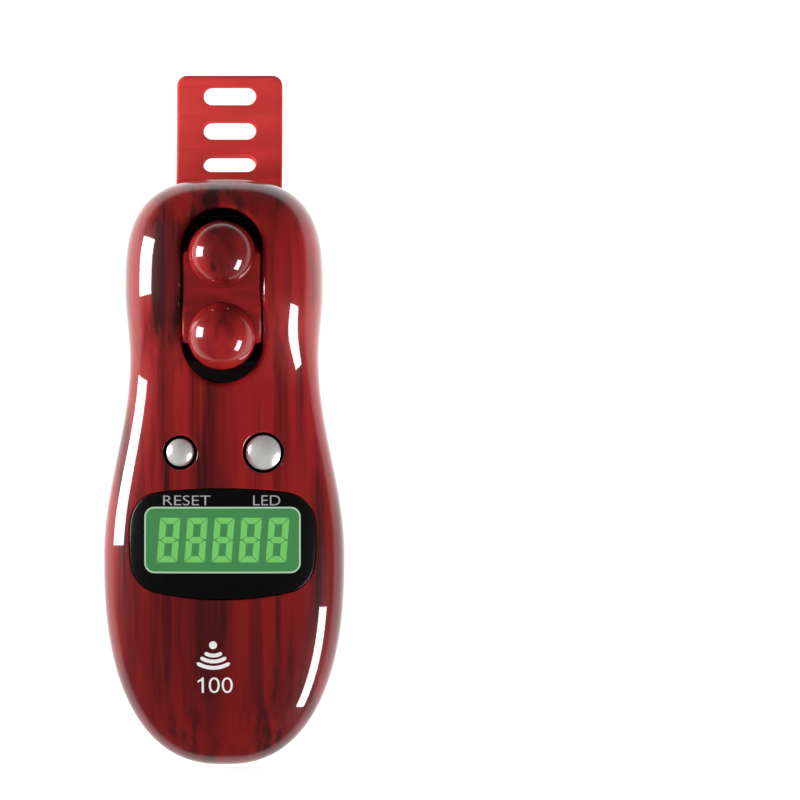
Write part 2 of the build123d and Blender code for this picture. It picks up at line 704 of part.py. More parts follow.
def push_button(name, x, dome_diameter, hole_diameter):
    """Domed metal button with a collar behind the wall, and the switch plunger that it rests on."""
    collar_radius = hole_diameter / 2 + BUTTON_COLLAR
    collar_y = front_at(abs(x) + collar_radius, BUTTON_Z, WALL) + BUTTON_COLLAR_GAP
    stem_y = collar_y + BUTTON_COLLAR_THICKNESS
    rim_y = front_at(x, BUTTON_Z, 0) - BUTTON_PROUD + BUTTON_CROWN
    radius = dome_diameter / 2
    plunger_y = BOARD_FRONT_Y - SWITCH_HEIGHT + PLUNGER_INSET
    with BuildPart() as button:
        with BuildSketch(beside(x)):
            with BuildLine():
                crown = (rim_y - BUTTON_CROWN, BUTTON_Z)
                Line((stem_y, BUTTON_Z), crown)
                TangentArc(crown, (rim_y, BUTTON_Z + radius), tangent=(0, 1))
                Polyline(
                    (rim_y, BUTTON_Z + radius),
                    (collar_y, BUTTON_Z + radius),
                    (collar_y, BUTTON_Z + collar_radius),
                    (stem_y, BUTTON_Z + collar_radius),
                    (stem_y, BUTTON_Z),
                )
            make_face()
        revolve(axis=Axis(place(x, 0, BUTTON_Z), (0, 1, 0)))
    save(button, f"{name}_button")
    with BuildPart() as plunger:
        with BuildSketch(facing(plunger_y)):
            with Locations((x, BUTTON_Z)):
                Circle(PLUNGER_DIAMETER / 2)
        extrude(amount=plunger_y - stem_y)
    save(plunger, f"{name}_plunger")


for switch_name, switch_x, dome_size, hole_size in (
    ("reset", RESET_X, RESET_DOME, RESET_HOLE),
    ("light", LED_X, LED_DOME, LED_HOLE),
):
    push_switch(switch_name, switch_x)
    push_button(switch_name, switch_x, dome_size, hole_size)

# Bead wheel
bead_turns = [360 * step / BEAD_COUNT for step in range(BEAD_COUNT)]
bead_places = [
    place(
        0,
        WHEEL_Y + BEAD_CIRCLE_RADIUS * cos(radians(turn)),
        WHEEL_Z + BEAD_CIRCLE_RADIUS * sin(radians(turn)),
    )
    for turn in bead_turns
]

with BuildPart() as bead_drum:
    with BuildSketch(beside(-DRUM_WIDTH / 2)):
        with Locations((WHEEL_Y, WHEEL_Z)):
            Circle(DRUM_RADIUS)
            RegularPolygon(DRUM_FLAT, BEAD_COUNT, major_radius=False, mode=Mode.INTERSECT)
    extrude(amount=DRUM_WIDTH)
    with BuildSketch(beside(-DRUM_WIDTH / 2)):
        with Locations((WHEEL_Y, WHEEL_Z)):
            Circle(CAM_RADIUS)
            with PolarLocations(CAM_RADIUS, BEAD_COUNT):
                Circle(CAM_NOTCH_RADIUS, mode=Mode.SUBTRACT)
    extrude(amount=-CAM_WIDTH)
    with Locations(*bead_places):
        Sphere(BEAD_DIAMETER / 2 + BEAD_SEAT_CLEARANCE, mode=Mode.SUBTRACT)
    with BuildSketch(beside(0)):
        with Locations((WHEEL_Y, WHEEL_Z)):
            Circle(AXLE_DIAMETER / 2 + AXLE_PRESS_CLEARANCE)
    extrude(amount=DRUM_WIDTH, both=True, mode=Mode.SUBTRACT)
save(bead_drum, "bead_drum")

for number, bead_place in enumerate(bead_places, start=1):
    with BuildPart() as bead:
        with Locations(bead_place):
            Sphere(BEAD_DIAMETER / 2)
    save(bead, f"bead_{number}")

with BuildPart() as wheel_axle:
    with BuildSketch(beside(0)):
        with Locations((WHEEL_Y, WHEEL_Z)):
            Circle(AXLE_DIAMETER / 2)
    extrude(amount=BEARING_X + BEARING_WIDTH / 2 - AXLE_END_GAP, both=True)
save(wheel_axle, "wheel_axle")

for side_name, side in (("left", -1), ("right", 1)):
    with BuildPart() as axle_bush:
        with BuildSketch(beside(side * BEARING_X - BEARING_WIDTH / 2)):
            with Locations((WHEEL_Y, WHEEL_Z)):
                Circle(BUSH_DIAMETER / 2)
                Circle(AXLE_DIAMETER / 2 + BUSH_RUNNING_CLEARANCE, mode=Mode.SUBTRACT)
        extrude(amount=BEARING_WIDTH)
    save(axle_bush, f"axle_bush_{side_name}")
    with BuildPart() as axle_clamp:
        with BuildSketch(facing(BEARING_REAR_Y)):
            with Locations((side * BEARING_X, WHEEL_Z)):
                Rectangle(BEARING_WIDTH, BEARING_HEIGHT)
                with Locations((0, -CLAMP_SCREW_Z), (0, CLAMP_SCREW_Z)):
                    Circle(SMALL_SCREW_DIAMETER / 2 + SCREW_CLEARANCE, mode=Mode.SUBTRACT)
        extrude(amount=-CLAMP_THICKNESS)
    save(axle_clamp, f"axle_clamp_{side_name}")

save(
    screw_group(
        CLAMP_SCREWS,
        BEARING_REAR_Y + CLAMP_THICKNESS,
        SMALL_SCREW_DIAMETER,
        CLAMP_THICKNESS + SMALL_SCREW_LENGTH - SCREW_CLEARANCE,
        SMALL_HEAD_DIAMETER,
        SMALL_HEAD_HEIGHT,
    ),
    "clamp_screws",
)

# Count leaf
leaf_x = -(DRUM_WIDTH + CAM_WIDTH) / 2
leaf_y = WHEEL_Y + CAM_RADIUS + LEAF_REST_GAP + LEAF_THICKNESS / 2
leaf_foot_y = BOARD_REAR_Y + LEAF_THICKNESS / 2
with BuildPart() as count_leaf:
    with BuildSketch(beside(leaf_x)):
        with BuildLine():
            Polyline(
                (leaf_foot_y, BOARD_HIGH_Z - LEAF_FOOT),
                (leaf_foot_y, BOARD_HIGH_Z + LEAF_FOOT),
                (leaf_y, WHEEL_Z - 2 * LEAF_TIP_LENGTH),
                (leaf_y, WHEEL_Z + LEAF_TIP_LENGTH),
            )
        trace(line_width=LEAF_THICKNESS)
        with Locations((leaf_y, WHEEL_Z)):
            Circle(CAM_NOTCH_RADIUS - LEAF_REST_GAP)
        with Locations((leaf_y + LEAF_THICKNESS / 2, WHEEL_Z)):
            Rectangle(CAM_RADIUS, CAM_RADIUS, align=(Align.MIN, Align.CENTER), mode=Mode.SUBTRACT)
    extrude(amount=LEAF_WIDTH / 2, both=True)
save(count_leaf, "count_leaf")

# Coin cell and battery door
with BuildPart() as coin_cell:
    with BuildSketch(facing(CELL_FRONT_Y)):
        with Locations((0, CELL_Z)):
            Circle(CELL_DIAMETER / 2)
    extrude(amount=-CELL_THICKNESS)
    chamfer(coin_cell.edges().filter_by(GeomType.CIRCLE), CELL_CHAMFER)
save(coin_cell, "coin_cell")

foot_y = BOARD_REAR_Y + CONTACT_THICKNESS / 2
touch_y = CELL_FRONT_Y - CONTACT_GAP - CONTACT_THICKNESS / 2
with BuildPart() as negative_contact:
    with BuildSketch(beside(0)):
        with BuildLine():
            Polyline(
                (foot_y, CELL_Z - CONTACT_REACH),
                (foot_y, CELL_Z - CONTACT_WIDTH / 2),
                (touch_y, CELL_Z + CONTACT_WIDTH),
                (touch_y, CELL_Z + CONTACT_REACH),
            )
        trace(line_width=CONTACT_THICKNESS)
    extrude(amount=CONTACT_WIDTH / 2, both=True)
save(negative_contact, "negative_contact")

side_z = CELL_Z - CELL_DIAMETER / 2 - CONTACT_GAP - CONTACT_THICKNESS / 2
with BuildPart() as positive_contact:
    with BuildSketch(beside(0)):
        with BuildLine():
            Polyline(
                (foot_y, side_z - CONTACT_WIDTH),
                (foot_y, side_z),
                (CELL_REAR_Y - CONTACT_END_MARGIN, side_z),
            )
        trace(line_width=CONTACT_THICKNESS)
    extrude(amount=CONTACT_WIDTH / 2, both=True)
save(positive_contact, "positive_contact")

door_head_y = FLAT_BACK_Y - CASE_HEAD_HEIGHT
with BuildPart() as battery_door:
    extrude(to_extrude=door_outline(0), amount=-DOOR_THICKNESS)
    with BuildSketch(facing(DOOR_SEAT_Y)):
        with Locations((0, CELL_Z)):
            Circle(CELL_DIAMETER / 2)
    extrude(amount=DOOR_SEAT_Y - CELL_REAR_Y - DOOR_SEAT_GAP)
    with BuildSketch(facing(DOOR_SEAT_Y)):
        with Locations((0, DOOR_SCREW_Z)):
            Circle(CASE_SCREW_DIAMETER / 2 + SCREW_CLEARANCE)
    extrude(amount=DOOR_THICKNESS, both=True, mode=Mode.SUBTRACT)
    with BuildSketch(facing(door_head_y)):
        with Locations((0, DOOR_SCREW_Z)):
            Circle(CASE_HEAD_DIAMETER / 2 + SCREW_CLEARANCE)
    extrude(amount=-DOOR_THICKNESS, mode=Mode.SUBTRACT)
save(battery_door, "battery_door")

save(
    screw_group(
        [(0, DOOR_SCREW_Z)],
        door_head_y,
        CASE_SCREW_DIAMETER,
        door_head_y - CELL_FRONT_Y - SCREW_CLEARANCE,
        CASE_HEAD_DIAMETER,
        CASE_HEAD_HEIGHT,
    ),
    "battery_door_screw",
)

save(
    screw_group(
        CASE_SCREWS,
        CASE_HEAD_SEAT_Y,
        CASE_SCREW_DIAMETER,
        CASE_SCREW_LENGTH,
        CASE_HEAD_DIAMETER,
        CASE_HEAD_HEIGHT,
    ),
    "case_screws",
)

# Vibration motor
motor_right_x = MOTOR_LEFT_X + MOTOR_LENGTH
with BuildPart() as motor_can:
    with BuildSketch(beside(MOTOR_LEFT_X)):
        with Locations((MOTOR_Y, MOTOR_Z)):
            Circle(MOTOR_DIAMETER / 2)
    extrude(amount=MOTOR_LENGTH)
    with BuildSketch(beside(motor_right_x)):
        with Locations((MOTOR_Y, MOTOR_Z)):
            Circle(MOTOR_SHAFT_DIAMETER / 2 + BUSH_RUNNING_CLEARANCE)
    extrude(amount=-MOTOR_LENGTH / 2, mode=Mode.SUBTRACT)
save(motor_can, "motor_can")

with BuildPart() as motor_sleeve:
    with BuildSketch(beside(MOTOR_LEFT_X + SLEEVE_MARGIN)):
        with Locations((MOTOR_Y, MOTOR_Z)):
            Circle(sleeve_radius)
            Circle(MOTOR_DIAMETER / 2, mode=Mode.SUBTRACT)
    extrude(amount=MOTOR_LENGTH - 2 * SLEEVE_MARGIN)
save(motor_sleeve, "motor_sleeve")

with BuildPart() as motor_shaft:
    with BuildSketch(beside(motor_right_x - MOTOR_LENGTH / 2 + WEIGHT_GAP)):
        with Locations((MOTOR_Y, MOTOR_Z)):
            Circle(MOTOR_SHAFT_DIAMETER / 2)
    extrude(amount=MOTOR_LENGTH / 2 - WEIGHT_GAP + MOTOR_SHAFT_LENGTH)
save(motor_shaft, "motor_shaft")

with BuildPart() as motor_weight:
    with BuildSketch(beside(motor_right_x + WEIGHT_GAP)):
        with Locations((MOTOR_Y, MOTOR_Z)):
            Circle(WEIGHT_RADIUS)
            Rectangle(2 * WEIGHT_RADIUS, WEIGHT_RADIUS, align=(Align.CENTER, Align.MIN), mode=Mode.SUBTRACT)
            Circle(WEIGHT_HUB_DIAMETER / 2)
            Circle(MOTOR_SHAFT_DIAMETER / 2 + AXLE_PRESS_CLEARANCE, mode=Mode.SUBTRACT)
    extrude(amount=WEIGHT_LENGTH)
save(motor_weight, "motor_weight")

# Saddle pad of the strap
pad_outer = SADDLE_RADIUS - PAD_GAP
pad_inner = SADDLE_RADIUS - PAD_THICKNESS
with BuildPart() as strap_pad:
    with BuildSketch(beside(0)):
        with BuildLine():
            arc_start = 180 - PAD_HIGH_ANGLE + degrees(PAD_END_GAP / pad_inner)
            arc_sweep = 180 + PAD_LOW_ANGLE - arc_start
            outer_arc = CenterArc((SADDLE_Y, SADDLE_Z), pad_outer, arc_start, arc_sweep)
            inner_arc = CenterArc((SADDLE_Y, SADDLE_Z), pad_inner, arc_start, arc_sweep)
            Line(outer_arc @ 0, inner_arc @ 0)
            Line(outer_arc @ 1, inner_arc @ 1)
        make_face()
    extrude(amount=STRAP_WIDTH / 2, both=True)
    for turn in PLUG_TURNS:
        with BuildSketch(radial(turn, pad_inner + PAD_THICKNESS / 2)):
            Circle(PLUG_DIAMETER / 2)
        extrude(amount=PAD_THICKNESS / 2 + SADDLE_WALL + RETAINER_GAP + RETAINER_THICKNESS)
save(strap_pad, "strap_pad")

with BuildPart() as strap_retainers:
    for turn in PLUG_TURNS:
        with BuildSketch(radial(turn, SADDLE_RADIUS + SADDLE_WALL + RETAINER_GAP)):
            Circle(RETAINER_DIAMETER / 2)
            Circle(PLUG_DIAMETER / 2 + PLUG_CLEARANCE, mode=Mode.SUBTRACT)
        extrude(amount=RETAINER_THICKNESS)
save(strap_retainers, "strap_retainers")

# Slotted half of the strap: links that turn at the slots
strap_root_radius = SADDLE_RADIUS - PAD_THICKNESS / 2
strap_points = [
    (
        SADDLE_Y - strap_root_radius * cos(radians(PAD_HIGH_ANGLE)),
        SADDLE_Z + strap_root_radius * sin(radians(PAD_HIGH_ANGLE)),
    )
]
for heading in LINK_HEADINGS[:-1]:
    start_y, start_z = strap_points[-1]
    strap_points.append(
        (start_y + SLOT_PITCH * cos(radians(heading)), start_z + SLOT_PITCH * sin(radians(heading)))
    )

half_thickness = STRAP_THICKNESS / 2
bevel = LINK_GAP + half_thickness * tan(radians(LINK_BEVEL_ANGLE))
for number, (point, heading) in enumerate(zip(strap_points, LINK_HEADINGS), start=1):
    is_tip = number == len(LINK_HEADINGS)
    length = STRAP_TIP if is_tip else SLOT_PITCH
    way = (0, cos(radians(heading)), sin(radians(heading)))
    normal = (0, -sin(radians(heading)), cos(radians(heading)))
    start = place(0, *point)
    with BuildPart() as strap_link:
        with BuildSketch(Plane(origin=start, x_dir=way, z_dir=(1, 0, 0))):
            with BuildLine():
                end_bevel = 0 if is_tip else bevel
                end_gap = 0 if is_tip else LINK_GAP
                Polyline(
                    (LINK_GAP, 0),
                    (bevel, half_thickness),
                    (length - end_bevel, half_thickness),
                    (length - end_gap, 0),
                    (length - end_bevel, -half_thickness),
                    (bevel, -half_thickness),
                    close=True,
                )
            make_face()
        extrude(amount=STRAP_WIDTH / 2, both=True)
        if is_tip:
            with BuildSketch(Plane(origin=start, x_dir=way, z_dir=normal)) as tip_outline:
                Rectangle(2 * length, STRAP_WIDTH)
                fillet(tip_outline.vertices(), STRAP_TIP_CORNER)
            extrude(amount=STRAP_THICKNESS, both=True, mode=Mode.INTERSECT)
        with BuildSketch(Plane(origin=start, x_dir=way, z_dir=normal)):
            if number > 1:
                SlotOverall(STRAP_SLOT_WIDTH, STRAP_SLOT_HEIGHT, rotation=90)
            if not is_tip:
                with Locations((length, 0)):
                    SlotOverall(STRAP_SLOT_WIDTH, STRAP_SLOT_HEIGHT, rotation=90)
        extrude(amount=STRAP_THICKNESS, both=True, mode=Mode.SUBTRACT)
    save(strap_link, "strap_tip" if is_tip else f"strap_link_{number}")

# Pegged half of the strap and its pin
band_centre_y = PIN_Y + BAND_STRAIGHT
band_centre_z = PIN_Z + BAND_RADIUS
peg_radius = BAND_RADIUS + half_thickness
with BuildPart() as pegged_band:
    with BuildSketch(beside(0)):
        with BuildLine():
            Line((PIN_Y, PIN_Z), (band_centre_y, PIN_Z))
            CenterArc((band_centre_y, band_centre_z), BAND_RADIUS, -90, BAND_SWEEP)
        trace(line_width=STRAP_THICKNESS)
        with Locations((PIN_Y, PIN_Z)):
            Circle(PIN_DIAMETER / 2 + EYE_CLEARANCE + EYE_WALL)
            Circle(PIN_DIAMETER / 2 + EYE_CLEARANCE, mode=Mode.SUBTRACT)
    extrude(amount=STRAP_WIDTH / 2, both=True)
    for step in range(PEG_COUNT):
        turn = radians(PEG_FIRST_ANGLE - 90) + step * PEG_PITCH / peg_radius
        way = (0, cos(turn), sin(turn))
        foot = place(0, band_centre_y + BAND_RADIUS * cos(turn), band_centre_z + BAND_RADIUS * sin(turn))
        peg_plane = Plane(origin=foot, x_dir=(1, 0, 0), z_dir=way)
        with BuildSketch(peg_plane):
            Rectangle(PEG_WIDTH, PEG_NECK)
        extrude(amount=half_thickness + PEG_HEIGHT)
        with BuildSketch(peg_plane.offset(half_thickness + PEG_HEIGHT - PEG_HEAD_HEIGHT)):
            Rectangle(PEG_WIDTH, PEG_HEAD)
        extrude(amount=PEG_HEAD_HEIGHT, taper=PEG_HEAD_TAPER)
save(pegged_band, "pegged_band")

with BuildPart() as strap_pin:
    with BuildSketch(beside(0)):
        with Locations((PIN_Y, PIN_Z)):
            Circle(PIN_DIAMETER / 2)
    extrude(amount=PIN_LENGTH / 2, both=True)
save(strap_pin, "strap_pin")
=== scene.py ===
"""Looks of a digital tasbih counter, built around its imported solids.

Sizes are millimetres in the case's own frame: x across the case, y from the parting plane to the
rear and z up from the lowest point of the case. A finished piece is moved to the shared frame.
"""
import json
import logging
import math
from dataclasses import dataclass, field
from enum import Enum
from typing import Any, Callable, Sequence

import bmesh
import bpy
from bmesh.types import BMesh
from mathutils import Matrix, Vector


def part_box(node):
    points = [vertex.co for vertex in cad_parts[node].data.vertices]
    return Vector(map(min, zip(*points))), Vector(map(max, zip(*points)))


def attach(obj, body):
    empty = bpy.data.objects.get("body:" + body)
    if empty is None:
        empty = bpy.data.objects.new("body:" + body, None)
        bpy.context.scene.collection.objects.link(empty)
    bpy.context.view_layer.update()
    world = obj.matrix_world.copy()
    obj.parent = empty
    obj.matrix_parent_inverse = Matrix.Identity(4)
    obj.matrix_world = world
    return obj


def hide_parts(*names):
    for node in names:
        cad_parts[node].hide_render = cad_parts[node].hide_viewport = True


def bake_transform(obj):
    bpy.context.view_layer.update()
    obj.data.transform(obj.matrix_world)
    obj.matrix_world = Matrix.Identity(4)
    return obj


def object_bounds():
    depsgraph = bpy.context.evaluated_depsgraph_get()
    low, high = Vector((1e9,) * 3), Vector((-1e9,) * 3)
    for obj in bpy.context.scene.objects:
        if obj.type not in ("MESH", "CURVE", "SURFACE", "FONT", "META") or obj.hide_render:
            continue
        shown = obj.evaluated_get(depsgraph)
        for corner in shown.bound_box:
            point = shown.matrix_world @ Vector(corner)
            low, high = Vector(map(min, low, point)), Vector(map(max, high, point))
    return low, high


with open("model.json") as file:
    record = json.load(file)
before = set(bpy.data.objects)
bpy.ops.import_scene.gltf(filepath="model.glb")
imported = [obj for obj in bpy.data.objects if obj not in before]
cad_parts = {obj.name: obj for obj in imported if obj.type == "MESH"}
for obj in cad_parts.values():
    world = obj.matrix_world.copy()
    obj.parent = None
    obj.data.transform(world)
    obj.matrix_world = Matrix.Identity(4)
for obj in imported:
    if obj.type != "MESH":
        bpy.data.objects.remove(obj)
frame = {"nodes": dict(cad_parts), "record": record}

CAD_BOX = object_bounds()
FINGER_Y = 19.0
FINGER_Z = 72.0
MM = 0.001
TO_ROW = Matrix.Scale(MM, 4) @ Matrix.Translation((0.0, -FINGER_Y, -FINGER_Z))
WELD = 0.0004
FAR = 60.0
CLEAR = 3.0
CUT_STEP = 0.7
ROUND_GAP = 0.001
BAR_SIDES = 48
INK_HALF = 0.1
INK_PROUD = 0.02
INK_SINK = 0.03
LETTER_THINNING = 0.008
LETTER_STEPS = 6
NOISE_ROUGHNESS = 0.55
TO_RIGHT = Vector((1.0, 0.0, 0.0))
TO_REAR = Vector((0.0, 1.0, 0.0))
TO_FRONT = Vector((0.0, -1.0, 0.0))
Skin = Callable[[float, float], float]
Levels = tuple[tuple[float, float], ...]
log = logging.getLogger("tasbih_counter")


class Tint(Enum):
    """Linear colours of the finishes."""

    PRINT_LIGHT = (0.36, 0.013, 0.0135, 1.0)
    PRINT_MID = (0.145, 0.0044, 0.0054, 1.0)
    PRINT_DARK = (0.030, 0.003, 0.0035, 1.0)
    SILICONE = (0.66, 0.038, 0.034, 1.0)
    SILICONE_WORN = (0.61, 0.034, 0.030, 1.0)
    CHROME = (0.95, 0.94, 0.92, 1.0)
    STEEL = (0.55, 0.55, 0.56, 1.0)
    STEEL_DULL = (0.40, 0.40, 0.41, 1.0)
    BRASS = (0.68, 0.47, 0.17, 1.0)
    INK_BLACK = (0.0008, 0.0008, 0.0008, 1.0)
    INK_WHITE = (0.86, 0.84, 0.83, 1.0)
    INK_GREY = (0.62, 0.62, 0.62, 1.0)
    CLEAR = (1.0, 1.0, 1.0, 1.0)
    LCD_FIELD = (0.045, 0.240, 0.068, 1.0)
    LCD_DIGIT = (0.175, 0.58, 0.13, 1.0)
    LCD_FRAME_PAINTED_GLOW = (0.46, 0.60, 0.44, 1.0)
    BOARD = (0.010, 0.115, 0.040, 1.0)
    BOARD_DARK = (0.006, 0.070, 0.026, 1.0)
    BLACK = (0.014, 0.014, 0.015, 1.0)
    BLACK_WORN = (0.024, 0.024, 0.025, 1.0)
    WHITE = (0.78, 0.78, 0.75, 1.0)
    WHITE_SHADE = (0.70, 0.70, 0.67, 1.0)
    RUBBER = (0.028, 0.028, 0.030, 1.0)
    FLOOR = (0.86, 0.86, 0.86, 1.0)


class Side(Enum):
    """Half of the case, with the way that its skin faces along y."""

    FRONT = -1.0
    REAR = 1.0


class Join(Enum):
    """How meshes change a body."""

    CUT = "DIFFERENCE"
    ADD = "UNION"


class Value:
    """A number on a shader socket; sums with it add Math nodes."""

    def __init__(self, graph: "Graph", socket: bpy.types.NodeSocket) -> None:
        """Wrap one output socket.

        Args:
            graph: the node tree that the socket is in.
            socket: the output to be used in sums.
        """
        self.graph = graph
        self.socket = socket

    def _math(self, operation: str, first: Any, second: Any) -> "Value":
        """Add one Math node.

        Args:
            operation: name of the Math operation.
            first: number or Value.
            second: number or Value.

        Returns:
            The node's result.
        """
        node = self.graph.node("ShaderNodeMath", {"operation": operation}, {0: first, 1: second})
        return Value(self.graph, node.outputs[0])

    def __add__(self, other: Any) -> "Value":
        """Sum."""
        return self._math("ADD", self, other)

    def __radd__(self, other: Any) -> "Value":
        """Sum with a plain number first."""
        return self._math("ADD", other, self)

    def __sub__(self, other: Any) -> "Value":
        """Difference."""
        return self._math("SUBTRACT", self, other)

    def __rsub__(self, other: Any) -> "Value":
        """Difference from a plain number."""
        return self._math("SUBTRACT", other, self)

    def __mul__(self, other: Any) -> "Value":
        """Product."""
        return self._math("MULTIPLY", self, other)

    def at_most(self, other: Any) -> "Value":
        """The smaller of two values."""
        return self._math("MINIMUM", self, other)

    def at_least(self, other: Any) -> "Value":
        """The larger of two values."""
        return self._math("MAXIMUM", self, other)

    def step(self, low: float, high: float) -> "Value":
        """Smooth step from 0 to 1.

        Args:
            low: value at which the result is 0.
            high: value at which it is 1.

        Returns:
            The result.
        """
        node = self.graph.node(
            "ShaderNodeMapRange",
            {"interpolation_type": "SMOOTHSTEP"},
            {"Value": self, "From Min": low, "From Max": high},
        )
        return Value(self.graph, node.outputs["Result"])


class Graph:
    """Node tree of a material or of the world."""

    def __init__(self, tree: bpy.types.NodeTree) -> None:
        """Empty the tree."""
        self.tree = tree
        tree.nodes.clear()

    def node(
        self, kind: str, settings: dict[str, Any] | None = None, sockets: dict[Any, Any] | None = None
    ) -> Any:
        """Add a node.

        Args:
            kind: the node's type name.
            settings: properties that are set first.
            sockets: values, or links as Value or socket, by input name or number.

        Returns:
            The new node.
        """
        node = self.tree.nodes.new(kind)
        for key, setting in (settings or {}).items():
            setattr(node, key, setting)
        for key, given in (sockets or {}).items():
            if isinstance(given, Value):
                given = given.socket
            if isinstance(given, bpy.types.NodeSocket):
                self.tree.links.new(given, node.inputs[key])
            else:
                node.inputs[key].default_value = given
        return node

    def place(self) -> bpy.types.NodeSocket:
        """Object coordinates, in metres."""
        return self.node("ShaderNodeTexCoord").outputs["Object"]

    def noise(self, stretch: Sequence[float], shift: Sequence[float], detail: float, warp: float) -> Value:
        """Noise over the object.

        Args:
            stretch: features per metre along x, y and z.
            shift: place of the pattern.
            detail: number of octaves.
            warp: distortion of the pattern.

        Returns:
            The noise, about 0.5 on average.
        """
        mapping = self.node(
            "ShaderNodeMapping", None, {"Vector": self.place(), "Location": shift, "Scale": stretch}
        )
        noise = self.node("ShaderNodeTexNoise", None, {
            "Vector": mapping.outputs[0],
            "Scale": 1.0,
            "Detail": detail,
            "Roughness": NOISE_ROUGHNESS,
            "Distortion": warp,
        })
        return Value(self, noise.outputs["Fac"])

    def mix(self, share: Value, first: Any, second: Any) -> bpy.types.NodeSocket:
        """Colour between two colours."""
        node = self.node("ShaderNodeMix", {"data_type": "RGBA"}, {0: share, 6: first, 7: second})
        return node.outputs[2]

    def bump(self, height: Value, depth_mm: float) -> bpy.types.NodeSocket:
        """Normal of a surface with small relief."""
        sockets = {"Height": height, "Distance": depth_mm * MM, "Strength": 1.0}
        return self.node("ShaderNodeBump", None, sockets).outputs["Normal"]

    def surface(self, sockets: dict[str, Any]) -> None:
        """Close the tree with one shader that takes these sockets."""
        shader = self.node("ShaderNodeBsdfPrincipled", None, sockets)
        self.node("ShaderNodeOutputMaterial", None, {"Surface": shader.outputs[0]})


@dataclass(frozen=True)
class Finish:
    """Finish of a surface; each kind dresses its own node tree."""

    name: str

    def material(self) -> bpy.types.Material:
        """The finish as a material, made once.

        Returns:
            The material.
        """
        made = bpy.data.materials.get(self.name)
        if made is None:
            made = bpy.data.materials.new(self.name)
            made.use_nodes = True
            self.dress(Graph(made.node_tree))
        return made

    def dress(self, graph: Graph) -> None:
        """Fill the node tree.

        Args:
            graph: the empty tree of the material.
        """
        raise NotImplementedError


@dataclass(frozen=True)
class Layer:
    """One noise of a print: its scale across and along the grain, its pattern and its step."""

    across: float
    along: float
    detail: float
    warp: float
    low: float = 0.0
    high: float = 1.0


@dataclass(frozen=True)
class WoodPrint(Finish):
    """Red wood-grain print under a clear coat."""

    across: tuple[float, float, float] = (150.0, 90.0, 8.0)
    shift: tuple[float, float, float] = (2.71, 0.2, 0.11)
    dark_from: float = 0.47
    dark_to: float = 0.66
    band: float = 0.5
    # heights in metres below which the painted shade is full and above which it is gone, standing in for
    # light from above
    painted_shade_full_z: float = -0.052
    painted_shade_end_z: float = -0.014
    streak: Layer = Layer(1.0, 1.0, 5.0, 0.35)
    fine: Layer = Layer(5.5, 2.6, 2.0, 0.2, 0.52, 0.70)
    bands: Layer = Layer(2.2, 1.1, 3.0, 0.25, 0.49, 0.63)
    cloud: Layer = Layer(0.5, 2.0, 2.0, 0.5, 0.3, 0.7)
    cloud_share: float = 0.4
    painted_shade_share: float = 0.6
    streak_share: float = 0.5
    streak_fine: float = 0.4
    line_share: float = 0.3
    darkest: float = 0.93
    roughness: float = 0.34
    rough_fine: float = 0.12

    def noise(self, graph: Graph, layer: Layer) -> Value:
        """Noise of one layer, before its step.

        Args:
            graph: the tree of the material.
            layer: scale and pattern of the noise.

        Returns:
            The noise.
        """
        x, y, z = self.across
        stretch = (layer.across * x, layer.across * y, layer.along * z)
        return graph.noise(stretch, self.shift, layer.detail, layer.warp)

    def dress(self, graph: Graph) -> None:
        """Dark streaks, narrower bands and fine pores over a red ground, with painted shade that darkens the
        ground towards the lower end as if light fell from above.

        Args:
            graph: the empty tree of the material.
        """
        streak = self.noise(graph, self.streak).step(self.dark_from, self.dark_to)
        fine = self.noise(graph, self.fine)
        lines = fine.step(self.fine.low, self.fine.high)
        bands = self.noise(graph, self.bands).step(self.bands.low, self.bands.high)
        cloud = self.noise(graph, self.cloud).step(self.cloud.low, self.cloud.high)
        height = graph.node("ShaderNodeSeparateXYZ", None, {0: graph.place()}).outputs["Z"]
        # painted shade: the ground darkens towards the lower end, standing in for light that falls from
        # above
        painted_shade = 1.0 - Value(graph, height).step(self.painted_shade_full_z, self.painted_shade_end_z)
        # depth mixes the random cloud of the print with the painted shade
        depth = cloud * self.cloud_share + painted_shade * self.painted_shade_share
        ground = graph.mix(depth, Tint.PRINT_LIGHT.value, Tint.PRINT_MID.value)
        dark = streak * (self.streak_share + fine * self.streak_fine)
        dark = dark + bands * self.band + lines * self.line_share
        graph.surface({
            "Base Color": graph.mix(dark.at_most(self.darkest), ground, Tint.PRINT_DARK.value),
            "Roughness": self.roughness + fine * self.rough_fine,
            "Specular IOR Level": 0.08,
            "Coat Weight": 1.0,
            "Coat Roughness": 0.025,
            "Coat IOR": 1.55,
        })


@dataclass(frozen=True)
class Moulded(Finish):
    """Moulded plastic, rubber or a printed board: two close shades and a fine grain."""

    shade: Tint = Tint.BLACK
    worn: Tint = Tint.BLACK_WORN
    roughness: float = 0.5
    grain: float = 900.0
    relief_mm: float = 0.012
    specular: float = 0.4
    cloud: float = 60.0
    rough_grain: float = 0.2

    def dress(self, graph: Graph) -> None:
        """Cloudy shade with a fine moulded grain.

        Args:
            graph: the empty tree of the material.
        """
        grain = graph.noise((self.grain,) * 3, shift=(0.1, 0.4, 0.2), detail=3.0, warp=0.0)
        cloud = graph.noise((self.cloud,) * 3, shift=(0.5, 0.1, 0.3), detail=2.0, warp=0.3).step(0.35, 0.7)
        graph.surface({
            "Base Color": graph.mix(cloud, self.shade.value, self.worn.value),
            "Roughness": self.roughness + (grain - 0.5) * self.rough_grain,
            "Specular IOR Level": self.specular,
            "Normal": graph.bump(grain, self.relief_mm),
        })


